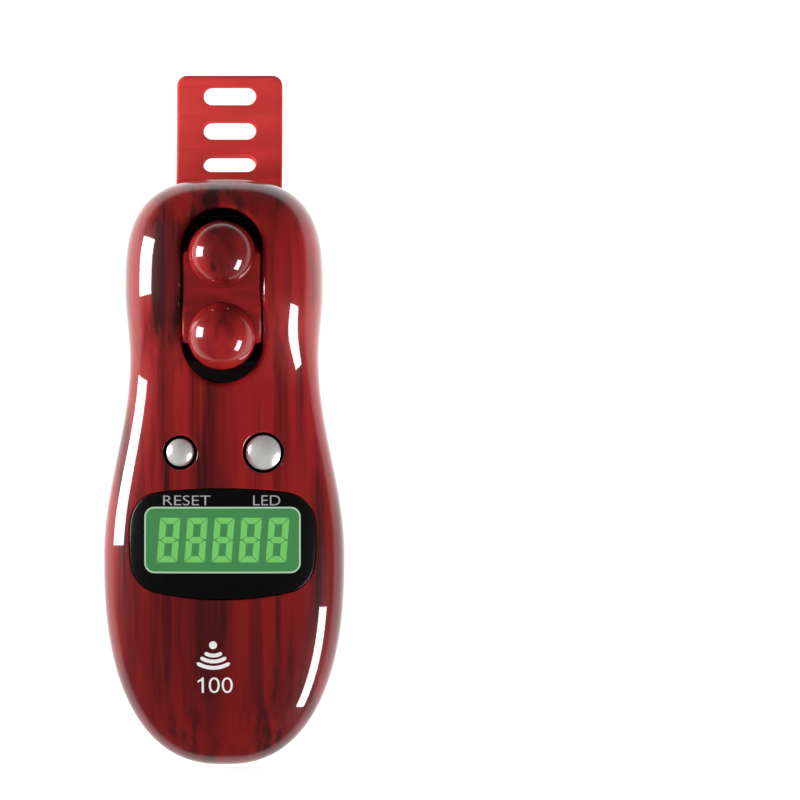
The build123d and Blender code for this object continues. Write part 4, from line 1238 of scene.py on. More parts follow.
@dataclass
class Case:
    """Front and rear shell, battery door and the screws that show."""

    form: CaseForm
    window: Outline
    buttons: "Buttons"
    front_floor_y: float = -3.0
    slot_width: float = 12.3
    slot_length: float = 26.6
    slot_lip: float = 1.0
    slot_steps: int = 24
    window_gap: float = 0.1
    window_lip: float = 0.16
    hole_lip: float = 0.3
    screws: tuple[tuple[float, float], ...] = ((-12.2, 15.0), (12.2, 15.0), (-11.7, 51.0), (11.7, 51.0))
    screw_seat_y: float = 3.6
    shank_radius: float = 1.0
    shank_length: float = 2.0
    head_radius: float = 1.7
    head_height: float = 1.3
    head_insets: Levels = ((0.0, 0.0), (0.0, 0.7), (0.15, 1.0), (0.5, 1.2), (1.0, 1.28))
    head_gap: float = 0.1
    head_sides: int = 40
    cross_length: float = 2.3
    cross_width: float = 0.5
    cross_corner: float = 0.1
    cross_levels: Levels = ((-0.08, 0.55), (0.04, 2.0))
    boss_radius: float = 2.2
    boss_cover: float = 0.9
    well_lip: float = 0.15
    door_radius: float = 11.65
    door_z: float = 26.0
    door_tab: float = 3.5
    door_screw_z: float = 40.2
    door_screw_depth: float = 1.3
    door_thickness: float = 1.6
    door_gap: float = 0.15
    door_lip: float = 0.2
    door_ease: float = 0.3
    door_round: float = 0.3
    door_steps: int = 96
    tab_steps: int = 24
    grooves: int = 5
    groove_drop: float = 7.4
    groove_pitch: float = 1.3
    groove_length: float = 9.0
    groove_taper: float = 0.6
    groove_width: float = 0.6
    groove_corner: float = 0.29
    groove_levels: Levels = ((-0.12, -0.35), (0.0, -0.2), (0.1, 0.5))
    pocket_width: float = 17.3
    pocket_height: float = 4.2
    pocket_floor_y: float = 6.9
    pocket_corner: float = 0.5
    pocket_lip: float = 0.5
    liner_wall: float = 1.2
    liner_corner: float = 0.6
    liner_back_y: float = 9.6

    def slot_outline(self) -> Outline:
        """Long slot that the beads stand out of.

        Returns:
            The outline, with close points for the cut.
        """
        corner = self.slot_width / 2 - ROUND_GAP
        width, length = self.slot_width, self.slot_length
        slot = Outline.rounded(0.0, self.form.wheel_z, width, length, corner, self.slot_steps)
        return slot.dense(CUT_STEP)

    def door_outline(self) -> Outline:
        """Round door with a tab for its screw.

        Returns:
            The outline, counter-clockwise from the tab.
        """
        join = math.acos(self.door_tab / self.door_radius)
        sweep = 2 * math.pi - (math.pi - 2 * join)
        middle, tab = Vector((0.0, self.door_z)), Vector((0.0, self.door_screw_z))
        points = []
        for step in range(self.door_steps + 1):
            points.append(unit(math.pi - join + sweep * step / self.door_steps) * self.door_radius + middle)
        for step in range(self.tab_steps + 1):
            points.append(unit(math.pi * step / self.tab_steps) * self.door_tab + tab)
        return Outline(points)

    def front_opening(self, outline: Outline, lip: float) -> BMesh:
        """Cutter of an opening in the front shell."""
        return Opening(outline, self.form.front_skin, Side.FRONT, lip, self.front_floor_y).cutter()

    def rear_opening(self, outline: Outline, lip: float, floor_y: float) -> BMesh:
        """Cutter of an opening in the rear shell."""
        return Opening(outline, self.form.rear_skin, Side.REAR, lip, floor_y).cutter()

    def front(self) -> Piece:
        """Front shell with the slot, the window opening and the two button holes.

        Returns:
            The piece.
        """
        cutters = [
            self.front_opening(self.slot_outline(), self.slot_lip),
            self.front_opening(Outline(self.window.grown(self.window_gap)), self.window_lip),
        ]
        for _, x, _, hole in self.buttons.keys:
            cutters.append(self.front_opening(Outline.circle(x, self.buttons.z, hole / 2), self.hole_lip))
        mesh = joined(self.form.shell(Side.FRONT), cutters, Join.CUT)
        return Piece("front_case", mesh, Finishes.CASE, "case_red", replaces=("front_shell",))

    def rear(self) -> Piece:
        """Rear shell with its saddle, flat back, door seat, screw wells and strap pocket.

        Returns:
            The piece.
        """
        width, height, floor_y = self.pocket_width, self.pocket_height, self.pocket_floor_y
        wall = 2 * self.liner_wall
        liner = Outline.rounded(0.0, self.form.pin_z, width + wall, height + wall, self.liner_corner)
        pocket = Outline.rounded(0.0, self.form.pin_z, width, height, self.pocket_corner).dense(CUT_STEP)
        door = Outline(self.door_outline().grown(self.door_gap))
        added = [stacked(liner, ((0.0, floor_y - self.liner_wall), (0.0, self.liner_back_y)))]
        cutters = [
            self.rear_opening(pocket, self.pocket_lip, floor_y),
            self.rear_opening(door, self.door_lip, self.form.flat_back - self.door_thickness),
        ]
        for x, z in self.screws:
            skin = self.form.rear_skin(math.copysign(abs(x) + self.boss_radius, x), z)
            top = min(skin, self.form.flat_back) - self.boss_cover
            added.append(cylinder(x, z, self.boss_radius, self.form.seam, top))
            well = Outline.circle(x, z, self.head_radius + self.head_gap, BAR_SIDES)
            cutters.append(self.rear_opening(well, self.well_lip, self.screw_seat_y))
        mesh = joined(joined(self.form.shell(Side.REAR), added, Join.ADD), cutters, Join.CUT)
        return Piece("rear_case", mesh, Finishes.CASE, "case_red", replaces=("rear_shell",))

    def door(self) -> Piece:
        """Battery door with an eased edge, grip grooves and a screw well.

        Returns:
            The piece.
        """
        back = self.form.flat_back
        front = back - self.door_thickness
        eased, middle = self.door_ease, self.door_round * self.door_ease
        rear = ((0.0, back - eased), (-middle, back - middle), (-eased, back))
        steps = ((-eased, front), (0.0, front + eased), *rear)
        well = self.head_radius + self.head_gap
        cutters = [cylinder(0.0, self.door_screw_z, well, back - self.door_screw_depth, back + CLEAR)]
        for index in range(self.grooves):
            z = self.door_z - self.groove_drop + self.groove_pitch * index
            length = self.groove_length - self.groove_taper * abs(index - self.grooves // 2)
            groove = Outline.rounded(0.0, z, length, self.groove_width, self.groove_corner, steps=6)
            cutters.append(stacked(groove, self.groove_levels, back))
        mesh = joined(stacked(self.door_outline(), steps), cutters, Join.CUT)
        return Piece("battery_cover", mesh, Finishes.CASE, "case_red", replaces=("battery_door",))

    def screw(self, x: float, z: float, seat_y: float) -> BMesh:
        """Pan-head screw with a crossed recess that shows its head to the rear.

        Args:
            x: place across.
            z: height.
            seat_y: depth of the seat under the head.

        Returns:
            The closed screw.
        """
        end = -self.shank_length
        profile = [(0.0, end), (self.shank_radius, end), (self.shank_radius, 0.0)]
        profile += [(self.head_radius - inset, height) for inset, height in self.head_insets]
        profile.append((0.0, self.head_height))
        head = turned(profile, Vector((x, seat_y, z)), TO_REAR, self.head_sides)
        recess = []
        for width, height in ((self.cross_length, self.cross_width), (self.cross_width, self.cross_length)):
            slot = Outline.rounded(x, z, width, height, self.cross_corner, steps=3)
            recess.append(stacked(slot, self.cross_levels, seat_y))
        return joined(head, recess, Join.CUT)

    def fasteners(self) -> list[Piece]:
        """Screws that show on the back.

        Returns:
            The case screws as one piece, and the door's screw.
        """
        heads = merged([self.screw(x, z, self.screw_seat_y) for x, z in self.screws])
        door = self.screw(0.0, self.door_screw_z, self.form.flat_back - self.door_screw_depth)
        return [
            Piece("case_screw_heads", heads, Finishes.STEEL, "steel", replaces=("case_screws",)),
            Piece("cover_screw_head", door, Finishes.STEEL, "steel", replaces=("battery_door_screw",)),
        ]

    def pieces(self) -> list[Piece]:
        """All the pieces of the case."""
        return [self.front(), self.rear(), self.door(), *self.fasteners()]


@dataclass
class Mark:
    """Plain signal mark of a dot and three arcs, and the number below it."""

    form: CaseForm
    x: float = -1.25
    dot_x: float = -0.15
    dot_z: float = 18.85
    dot_radius: float = 0.6
    arc_x: float = -0.12
    arcs: tuple[tuple[float, float, float], ...] = (
        (2.2, 36.0, 17.85),
        (3.4, 35.0, 16.95),
        (4.6, 33.0, 15.98),
    )
    arc_drop: float = 0.6
    arc_half: float = 0.29
    arc_steps: int = 24
    taper_start: float = 0.15
    taper_steps: float = 1.6
    number_z: float = 12.72
    zeros_x: float = 0.98
    zeros_width: float = 3.65
    zeros_height: float = 2.38
    one_x: float = -1.92
    one_rise: float = 0.95
    one: tuple[tuple[float, float], ...] = (
        (0.0, -1.25), (0.33, -1.25), (0.33, 1.25), (0.1, 1.25),
        (-0.16, 0.98), (-0.62, 0.7), (-0.62, 0.4), (0.0, 0.72),
    )

    def arc(self, radius: float, half_sweep: float, top: float) -> BMesh:
        """One arc of the mark, narrower at its ends.

        Args:
            radius: radius of its middle line.
            half_sweep: half of its angle in degrees.
            top: height that places its lowest point.

        Returns:
            A thin mesh about y = 0.
        """
        centre = Vector((self.x + self.arc_x, top - self.arc_drop + radius))
        rings = []
        for index in range(self.arc_steps + 1):
            way = unit(math.radians(-90 - half_sweep + 2 * half_sweep * index / self.arc_steps))
            end = min(index, self.arc_steps - index)
            half = self.arc_half * min(1.0, math.sqrt((end + self.taper_start) / self.taper_steps))
            low, high = centre + way * (radius + half), centre + way * (radius - half)
            rings.append(level_ring((low, high), -INK_HALF) + level_ring((high, low), INK_HALF))
        return loft(rings)

    def pieces(self) -> list[Piece]:
        """The mark and its number.

        Returns:
            Both prints, laid on the front skin.
        """
        dot = cylinder(self.x + self.dot_x, self.dot_z, self.dot_radius, -INK_HALF, INK_HALF)
        sign = joined(dot, [self.arc(*sizes) for sizes in self.arcs], Join.ADD)
        zeros = lettering("00", self.x + self.zeros_x, self.number_z, self.zeros_width, self.zeros_height)
        corners = [Vector((self.x + self.one_x + x, self.number_z + self.one_rise * z)) for x, z in self.one]
        number = joined(loft([level_ring(corners, y) for y in (-INK_HALF, INK_HALF)]), [zeros], Join.ADD)
        skin = self.form.front_skin
        return [
            Piece("signal_mark", printed(sign, skin), Finishes.WHITE_INK, "white_plastic"),
            Piece("reminder_number", printed(number, skin), Finishes.WHITE_INK, "white_plastic"),
        ]


@dataclass
class Display:
    """Window pane, its black mask, the LCD and its digits."""

    form: CaseForm
    window: Outline
    seat_y: float = -6.0
    tape: float = 0.05
    body_edge: float = 0.08
    body_steps: int = 10
    pane_edge: float = 0.06
    pane_gap: float = 0.02
    pane_steps: int = 24
    edge_steps: int = 5
    view_width: float = 23.7
    view_height: float = 10.0
    view_corner: float = 1.5
    view_z: float = 34.82
    view_step: float = 0.6
    frame_line: float = 0.20
    frame_lap: float = 0.04
    frame_proud: float = 0.015
    frame_sink: float = 0.03
    labels: tuple[tuple[str, float, float], ...] = (("RESET", -5.4, 7.2), ("LED", 6.75, 4.1))
    label_z: float = 40.85
    label_height: float = 1.5
    lcd_z: float = 34.7
    lcd_width: float = 24.6
    lcd_height: float = 11.4
    lcd_corner: float = 0.4
    lcd_ease: float = 0.15
    lcd_front: float = -4.6
    lcd_thickness: float = 1.4
    digits: int = 5
    digits_x: float = -0.25
    digit_height: float = 6.75
    digit_width: float = 3.0
    digit_pitch: float = 4.06
    digit_stroke: float = 0.95
    digit_slant: float = 0.075
    digit_gap: float = 0.08
    bar_shoulder: float = 0.9
    bar_point: float = 0.35
    bar_notch: float = 0.25
    digit_proud: float = 0.06
    digit_sink: float = 0.02

    def view(self, grow: float) -> Outline:
        """Rounded outline of the view area.

        Args:
            grow: margin around the view area.

        Returns:
            The outline.
        """
        width, height = self.view_width + 2 * grow, self.view_height + 2 * grow
        view = Outline.rounded(0.0, self.view_z, width, height, self.view_corner + grow)
        return view.dense(self.view_step)

    def edge_rings(self, outline: Outline, edge: float) -> list[list[Vector]]:
        """Rings of a rounded front edge.

        Args:
            outline: outline of the body.
            edge: radius of the edge.

        Returns:
            Rings from the body's side onto the front skin.
        """
        rings = []
        for step in range(self.edge_steps + 1):
            turn = math.pi / 2 * step / self.edge_steps
            points = outline.grown(edge * (math.cos(turn) - 1))
            rings.append(skin_ring(points, self.form.front_skin, edge * (1 - math.sin(turn))))
        return rings

    def face_rings(self, rim: list[Vector], inner: list[Vector], steps: int) -> list[list[Vector]]:
        """Rings on the front skin between two lines.

        Args:
            rim: points of the outer line.
            inner: as many points of the inner line.
            steps: number of rings.

        Returns:
            The rings after the rim, up to the inner line.
        """
        rings = []
        for step in range(1, steps + 1):
            points = [p.lerp(q, step / steps) for p, q in zip(rim, inner)]
            rings.append(skin_ring(points, self.form.front_skin))
        return rings

    def surround(self) -> BMesh:
        """Black body of the window round the view area.

        Returns:
            The closed body, with a hole for the pane.
        """
        hole = self.view(0.0)
        middle = Vector((0.0, self.view_z))
        edge = Outline([self.window.cast(middle, p) for p in hole.points])
        back = self.seat_y - self.tape
        rings = [level_ring(hole.points, back), level_ring(edge.points, back)]
        rings += self.edge_rings(edge, self.body_edge)
        rings += self.face_rings(edge.grown(-self.body_edge), hole.points, self.body_steps)
        return loft(rings + rings[:1], caps=False)

    def pane(self) -> BMesh:
        """Clear pane that follows the front skin of the case and is flat at its back.

        Returns:
            The closed pane.
        """
        outline = self.view(-self.pane_gap)
        rim = outline.grown(-self.pane_edge)
        middle = sum(rim, Vector((0.0, 0.0))) / len(rim)
        rings = [level_ring(outline.points, self.seat_y - self.tape)]
        rings += self.edge_rings(outline, self.pane_edge)
        rings += self.face_rings(rim, [middle] * len(rim), self.pane_steps)
        return loft(rings)

    def line(self) -> BMesh:
        """Pale printed line round the view area, which glows with painted light.

        Returns:
            A thin frame on the front skin.
        """
        outer, inner = self.view(self.frame_lap).points, self.view(-self.frame_line).points
        front, back = -self.frame_proud, self.frame_sink
        order = ((outer, front), (inner, front), (inner, back), (outer, back), (outer, front))
        mesh = loft([level_ring(points, y) for points, y in order], caps=False)
        for vert in mesh.verts:
            vert.co.y += self.form.front_skin(vert.co.x, vert.co.z)
        return mesh

    def window_pieces(self) -> list[Piece]:
        """Black window with its clear view area and its two labels.

        Returns:
            The pieces, from the back to the front.
        """
        pieces = [
            Piece(
                "window_body", self.surround(), Finishes.MASK, "window_black", replaces=("display_window",)
            ),
            Piece("view_pane", self.pane(), Finishes.PANE, "window_black"),
            Piece("view_frame_line", self.line(), Finishes.LCD_FRAME_PAINTED_GLOW, "lcd_green"),
        ]
        for words, x, width in self.labels:
            flat = lettering(words, x, self.label_z, width, self.label_height)
            label = printed(flat, self.form.front_skin)
            # the label print glows with painted light from its finish
            pieces.append(Piece(f"label_{words.lower()}", label, Finishes.LABEL_PAINTED_GLOW, "white_plastic"))
        return pieces

    def lcd(self) -> Piece:
        """Display glass with an eased edge.

        Returns:
            The piece.
        """
        width, height = self.lcd_width, self.lcd_height
        outline = Outline.rounded(0.0, self.lcd_z, width, height, self.lcd_corner, steps=6)
        levels = ((-self.lcd_ease, 0.0), (0.0, self.lcd_ease), (0.0, self.lcd_thickness))
        mesh = stacked(outline, levels, self.lcd_front)
        return Piece("lcd_panel", mesh, Finishes.LCD_FIELD, "lcd_green", replaces=("lcd_glass",))

    def segment(self, corners: Sequence[tuple[float, float]], left: float) -> BMesh:
        """One bar of a digit.

        Args:
            corners: corners of the bar in x and z from the digit's lower left corner.
            left: place of that corner.

        Returns:
            A thin mesh in front of the display glass.
        """
        bottom = self.lcd_z - self.digit_height / 2
        points = [Vector((left + x + self.digit_slant * z, bottom + z)) for x, z in corners]
        return loft([level_ring(points, self.lcd_front + y) for y in (-self.digit_proud, self.digit_sink)])

    def segments(self) -> list[list[tuple[float, float]]]:
        """Corners of the seven bars of a digit.

        Returns:
            The corners of each bar in x and z from the digit's lower left corner.
        """
        w, h, t, gap = self.digit_width, self.digit_height, self.digit_stroke, self.digit_gap
        half = h / 2
        top = [(gap, h), (w - gap, h), (w - t - gap, h - t), (t + gap, h - t)]
        shoulder, point = self.bar_shoulder * t + gap, self.bar_point * t + gap
        middle_left = [(shoulder, half - t / 2), (point, half), (shoulder, half + t / 2)]
        middle = middle_left + [(w - x, z) for x, z in reversed(middle_left)]
        left_high = [
            (0.0, h - gap), (t, h - t - gap), (t, half + t / 2 + gap),
            (self.bar_notch * t, half + gap), (0.0, half + 2 * gap),
        ]
        low, left_low = ([(x, h - z) for x, z in reversed(bar)] for bar in (top, left_high))
        right_high, right_low = ([(w - x, z) for x, z in reversed(bar)] for bar in (left_high, left_low))
        return [top, low, middle, left_high, left_low, right_high, right_low]

    def numerals(self) -> Piece:
        """The row of slanted seven-bar digits.

        Returns:
            All the digits as one piece.
        """
        first = -(self.digits - 1) / 2 * self.digit_pitch - self.digit_width / 2 + self.digits_x
        places = [first + number * self.digit_pitch for number in range(self.digits)]
        mesh = merged([self.segment(corners, place) for place in places for corners in self.segments()])
        return Piece("lcd_digits", mesh, Finishes.LCD_DIGIT, "lcd_green")

    def pieces(self) -> list[Piece]:
        """All the pieces of the display."""
        return [*self.window_pieces(), self.lcd(), self.numerals()]


@dataclass
class Buttons:
    """Two domed metal buttons: name, place across, diameter and hole of each, and their sizes."""

    z: float = 48.1
    keys: tuple[tuple[str, float, float, float], ...] = (
        ("reset", -6.45, 4.2, 5.2),
        ("light", 6.2, 5.3, 6.2),
    )
    crown: float = 0.9
    crown_inset: float = 0.14
    crown_steps: int = 11
    rim_drop: float = 0.12
    rim_ease: float = 0.04
    neck_inset: float = 0.32
    neck_height: float = 0.62
    collar_inset: float = 0.3
    collar_reach: float = 0.6
    collar_height: float = 0.6
    collar_ease: float = 0.1
    dome_sides: int = 72

    def collar(self, radius: float, hole: float, low: float) -> list[tuple[float, float]]:
        """Profile of the collar behind the wall.

        Args:
            radius: radius of the dome.
            hole: diameter of its hole in the case.
            low: height of the button's back along its axis.

        Returns:
            Closed profile of radius and height.
        """
        inner, outer = radius - self.collar_inset, hole / 2 + self.collar_reach
        top = low + self.collar_height
        edge = ((outer, top - self.collar_ease), (outer - self.collar_ease, top))
        return [(inner, low), (outer, low), *edge, (inner, top), (inner, low)]

    def dome(self, radius: float, low: float, rim: float) -> list[tuple[float, float]]:
        """Profile of the dome and its neck.

        Args:
            radius: radius of the dome.
            low: height of the button's back along its axis.
            rim: height of the foot of the crown.

        Returns:
            Profile of radius and height from the back to the top.
        """
        neck, step_up = radius - self.neck_inset, low + self.neck_height
        profile = [(0.0, low), (neck, low), (neck, step_up), (radius, step_up)]
        profile += [(radius, rim - self.rim_drop), (radius - self.rim_ease, rim + self.rim_ease)]
        ball = (radius**2 + self.crown**2) / (2 * self.crown)
        for step in range(self.crown_steps + 1):
            reach = (radius - self.crown_inset) * (1 - step / self.crown_steps)
            profile.append((reach, rim + math.sqrt(ball**2 - reach**2) - (ball - self.crown)))
        return profile

    def pieces(self) -> list[Piece]:
        """Both buttons.

        Returns:
            The dome and the collar of each one.
        """
        pieces = []
        for name, x, diameter, hole in self.keys:
            low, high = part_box(f"{name}_button")
            back = -(TO_ROW.inverted() @ high).y
            rim = -(TO_ROW.inverted() @ low).y - self.crown
            centre = Vector((x, 0.0, self.z))
            dome = turned(self.dome(diameter / 2, back, rim), centre, TO_FRONT, self.dome_sides)
            collar = turned(self.collar(diameter / 2, hole, back), centre, TO_FRONT, BAR_SIDES)
            slot, body = "polished_metal", f"{name}_key"
            pieces.append(Piece(f"{name}_dome", dome, Finishes.CHROME, slot, body, (f"{name}_button",)))
            pieces.append(Piece(f"{name}_collar", collar, Finishes.BLACK, slot, body))
        return pieces


@dataclass
class BeadWheel:
    """Drum with three beads that turns in the slot."""

    form: CaseForm
    y: float = -6.4
    beads: int = 3
    bead_radius: float = 5.2
    bead_steps: int = 48
    bead_sides: int = 72
    circle: float = 7.1
    drill: Levels = ((0.0, -0.5), (0.45, -0.5), (0.45, -0.06), (0.62, 0.4), (0.0, 0.4))
    drill_sides: int = 24
    drum_radius: float = 8.0
    drum_flat: float = 4.9
    drum_half: float = 5.95
    drum_edge: float = 0.5
    drum_round: tuple[float, float] = (0.2, -0.12)
    drum_sides: int = 120
    drum_blend: float = 0.6
    drum_crease_deg: float = 28.0
    seat_gap: float = 0.03

    def around(self, x: float, turn: float, radius: float) -> Vector:
        """Point at a place across, an angle and a distance from the axle."""
        return Vector((x, self.y + radius * math.cos(turn), self.form.wheel_z + radius * math.sin(turn)))

    def bead_centre(self, number: int) -> Vector:
        """Centre of one bead."""
        return self.around(0.0, 2 * math.pi * number / self.beads, self.circle)

    def ball(self, number: int, gap: float = 0.0) -> BMesh:
        """Ball of one bead, spun about the way of the axle.

        Args:
            number: index of the bead.
            gap: distance by which it is larger than the bead.

        Returns:
            The closed ball.
        """
        radius = self.bead_radius + gap
        turns = [math.pi * step / self.bead_steps for step in range(1, self.bead_steps)]
        round_part = [(radius * math.sin(turn), -radius * math.cos(turn)) for turn in turns]
        profile = [(0.0, -radius), *round_part, (0.0, radius)]
        return turned(profile, self.bead_centre(number), TO_RIGHT, self.bead_sides)

    def bead(self, number: int) -> Piece:
        """One bead, with a small drilled recess at each end of its own axis.

        Args:
            number: index of the bead.

        Returns:
            The piece.
        """
        drills = []
        for way in (-TO_RIGHT, TO_RIGHT):
            end = self.bead_centre(number) + way * self.bead_radius
            drills.append(turned(self.drill, end, way, self.drill_sides))
        mesh = joined(self.ball(number), drills, Join.CUT)
        name = f"bead_{number + 1}"
        return Piece(f"{name}_turned", mesh, Finishes.BEAD, "bead_red", "bead_wheel", (name,))

    def drum_ring(self, x: float, offset: float) -> list[Vector]:
        """Section of the drum, round with a flat between each two beads.

        Args:
            x: place across.
            offset: distance by which the section is larger.

        Returns:
            Points of the section.
        """
        part = 2 * math.pi / self.beads
        ring = []
        for step in range(self.drum_sides):
            turn = 2 * math.pi * step / self.drum_sides
            off = (turn - part / 2) % part
            flat = self.drum_flat / math.cos(min(off, part - off))
            ring.append(self.around(x, turn, soft_min(self.drum_radius, flat, self.drum_blend) + offset))
        return ring

    def drum(self) -> Piece:
        """Drum with flats between the beads, hollowed for them.

        Returns:
            The piece.
        """
        inset, drop = self.drum_round
        left = -self.drum_half
        steps = [(left, -self.drum_edge), (left + inset, drop), (left + self.drum_edge, 0.0)]
        steps += [(-x, offset) for x, offset in reversed(steps)]
        seats = [self.ball(number, self.seat_gap) for number in range(self.beads)]
        mesh = joined(loft([self.drum_ring(x, offset) for x, offset in steps]), seats, Join.CUT)
        return Piece(
            "bead_carrier", mesh, Finishes.DRUM, "bead_red",
            body="bead_wheel", replaces=("bead_drum",), crease_deg=self.drum_crease_deg,
        )

    def pieces(self) -> list[Piece]:
        """The drum and its beads."""
        return [self.drum(), *[self.bead(number) for number in range(self.beads)]]


@dataclass
class Strap:
    """Silicone strap: saddle pad, slotted half and pegged half."""

    form: CaseForm
    width: float = 16.7
    thickness: float = 1.8
    pad_thickness: float = 1.4
    pad_gap: float = 0.03
    pad_steps: int = 40
    edge: float = 0.4
    edge_share: float = 0.45
    high_deg: float = 50.0
    low_deg: float = 43.0
    root_lap_deg: float = 6.0
    root_tuck_deg: float = 0.5
    root_growth: float = 1.4
    pitch: float = 5.55
    slot_width: float = 8.3
    slot_height: float = 2.8
    slot_levels: Levels = ((0.35, -1.2), (0.18, -0.9), (0.0, -0.65), (0.0, 0.65), (0.18, 0.9), (0.35, 1.2))
    tip: float = 3.3
    tip_corner: float = 1.6
    headings: tuple[float, ...] = (27.0, 63.5, 80.0, 88.0, 90.0)
    slices: int = 18
    closed_bend_deg: float = 20.0
    bend_share: float = 0.4
    blend_share: float = 0.45
    pin_y: float = 9.0
    pin_radius: float = 0.8
    pin_sides: int = 32
    eye_radius: float = 1.5
    eye_sides: int = 40
    straight: float = 7.4
    straight_steps: int = 8
    radius: float = 12.4
    sweep_deg: float = 140.0
    sweep_steps: int = 60
    end_steps: int = 3
    end_thinning: float = 0.5
    pegs: int = 4
    peg_first_deg: float = 34.0
    peg_pitch: float = 5.3
    peg_width: float = 7.2
    peg_height: float = 2.9
    peg_corner: float = 0.5
    peg_stem: tuple[tuple[float, float, float], ...] = ((0.3, 2.1, 0.0), (0.9, 2.5, 0.1), (1.15, 2.15, 0.0))
    peg_head: tuple[tuple[float, float, float], ...] = (
        (-1.25, 2.1, 0.0), (-1.05, 3.1, -0.05), (-0.8, 3.5, 0.0),
        (-0.5, 3.45, 0.0), (-0.2, 3.1, -0.1), (0.0, 2.5, -0.35),
    )
    bodies: tuple[str, ...] = ("case", "strap_1", "strap_2", "strap_3", "strap_4", "strap_5")
    nodes: tuple[str, ...] = ("strap_link_1", "strap_link_2", "strap_link_3", "strap_link_4", "strap_tip")
    points: list[Vector] = field(default_factory=list)

    def __post_init__(self) -> None:
        """Work out the bend points of the slotted half, in y and z."""
        self.points.append(self.saddle_point(self.high_deg, self.pad_thickness / 2))
        for heading in self.headings[:-1]:
            self.points.append(self.points[-1] + self.way(heading) * self.pitch)

    @staticmethod
    def way(heading: float) -> Vector:
        """Unit vector in y and z at a heading above the rear, in degrees."""
        return unit(math.radians(heading))

    def saddle_point(self, turn_deg: float, height: float) -> Vector:
        """Point above the saddle.

        Args:
            turn_deg: angle about the saddle's centre, from its middle upwards.
            height: distance from the saddle.

        Returns:
            The point in y and z.
        """
        turn = math.radians(turn_deg)
        full = self.form.saddle_radius
        centre = Vector((self.form.saddle_floor + full, self.form.saddle_z))
        return centre + Vector((-math.cos(turn), math.sin(turn))) * (full - height)

    def pad_point(self, turn_deg: float) -> Vector:
        """Point in y and z on the middle line of the pad."""
        return self.saddle_point(turn_deg, (self.pad_thickness + self.pad_gap) / 2)

    def swept(self, path: Sequence[tuple[Vector, float, float]]) -> BMesh:
        """Band along a path.

        Args:
            path: point in y and z, heading in degrees and thickness of each section.

        Returns:
            The closed band.
        """
        rings = []
        for point, heading, thickness in path:
            corner = min(self.edge, self.edge_share * thickness)
            section = Outline.rounded(0.0, 0.0, self.width, thickness, corner, steps=5)
            normal = self.way(heading + 90.0)
            rings.append([Vector((p.x, *(point + normal * p.y))) for p in section.points])
        return loft(rings)

    def pad(self) -> Piece:
        """Pad in the saddle of the case.

        Returns:
            The piece.
        """
        sweep = self.low_deg + self.high_deg - self.root_lap_deg
        turns = [-self.low_deg + sweep * step / self.pad_steps for step in range(self.pad_steps + 1)]
        path = [(self.pad_point(turn), 90.0 - turn, self.pad_thickness - self.pad_gap) for turn in turns]
        return Piece("saddle_pad", self.swept(path), Finishes.STRAP, "strap_red", replaces=("strap_pad",))

    def curve(
        self, start: Vector, start_heading: float, end: Vector, end_heading: float, share: float
    ) -> tuple[Vector, float]:
        """Point and heading on a smooth bend.

        Args:
            start: first point.
            start_heading: heading there.
            end: last point.
            end_heading: heading there.
            share: place along the bend from 0 to 1.

        Returns:
            The point in y and z, and its heading in degrees.
        """
        reach = (end - start).length / 3
        knots = [start, start + self.way(start_heading) * reach, end - self.way(end_heading) * reach, end]
        legs = [second - first for first, second in zip(knots, knots[1:])]
        rest = 1 - share
        weights = (rest**3, 3 * rest**2 * share, 3 * rest * share**2, share**3)
        point = sum((knot * weight for knot, weight in zip(knots, weights)), Vector((0.0, 0.0)))
        slope = legs[0] * rest**2 + legs[1] * 2 * rest * share + legs[2] * share**2
        return point, math.degrees(math.atan2(slope.y, slope.x))

    def flat(self, length: float, slot_at: float | None, has_tip: bool) -> BMesh:
        """Flat stretch of strap along y from 0, with its slot.

        Args:
            length: length of the stretch.
            slot_at: place of the slot's middle, or None.
            has_tip: whether the far end is the rounded tip.

        Returns:
            The stretch, cut across into slices that can bend.
        """
        mesh = bmesh.new()
        bmesh.ops.create_cube(mesh, size=1.0)
        bmesh.ops.scale(mesh, vec=(self.width, length, self.thickness), verts=mesh.verts)
        bmesh.ops.translate(mesh, vec=(0.0, length / 2, 0.0), verts=mesh.verts)
        if has_tip:
            ends = [e for e in mesh.edges if min(v.co.y for v in e.verts) > length - WELD]
            corners = [e for e in ends if abs(e.verts[0].co.x - e.verts[1].co.x) < WELD]
            bmesh.ops.bevel(
                mesh, geom=corners, offset=self.tip_corner,
                affect="EDGES", segments=8, profile=0.5, material=-1,
            )
        rims = [e for e in mesh.edges if abs(e.verts[0].co.z - e.verts[1].co.z) < WELD]
        rims = [e for e in rims if max(v.co.y for v in e.verts) > WELD]
        if not has_tip:
            rims = [e for e in rims if min(v.co.y for v in e.verts) < length - WELD]
        bmesh.ops.bevel(
            mesh, geom=rims, offset=self.edge, affect="EDGES", segments=3, profile=0.5, material=-1
        )
        if slot_at is not None:
            corner = self.slot_height / 2 - ROUND_GAP
            slot = Outline.rounded(0.0, slot_at, self.slot_width, self.slot_height, corner, steps=10)
            rings = [[Vector((p.x, p.y, z)) for p in slot.grown(offset)] for offset, z in self.slot_levels]
            mesh = joined(mesh, [loft(rings)], Join.CUT)
        for step in range(1, self.slices):
            place = Vector((0.0, length * step / self.slices, 0.0))
            geometry = [*mesh.verts, *mesh.edges, *mesh.faces]
            bmesh.ops.bisect_plane(mesh, geom=geometry, dist=WELD, plane_co=place, plane_no=TO_REAR)
        return mesh

    def sag(self, number: int) -> float:
        """Shift of a stretch at its joint, so that it is as smooth closed as it is open.

        Args:
            number: index of the bend point.

        Returns:
            The distance to the outside of the open bend; the root needs none.
        """
        if number == 0:
            return 0.0
        bends = (self.headings[number] - self.headings[number - 1], self.closed_bend_deg)
        return self.bend_share * self.pitch / 4 * sum(math.sin(math.radians(bend / 2)) for bend in bends)

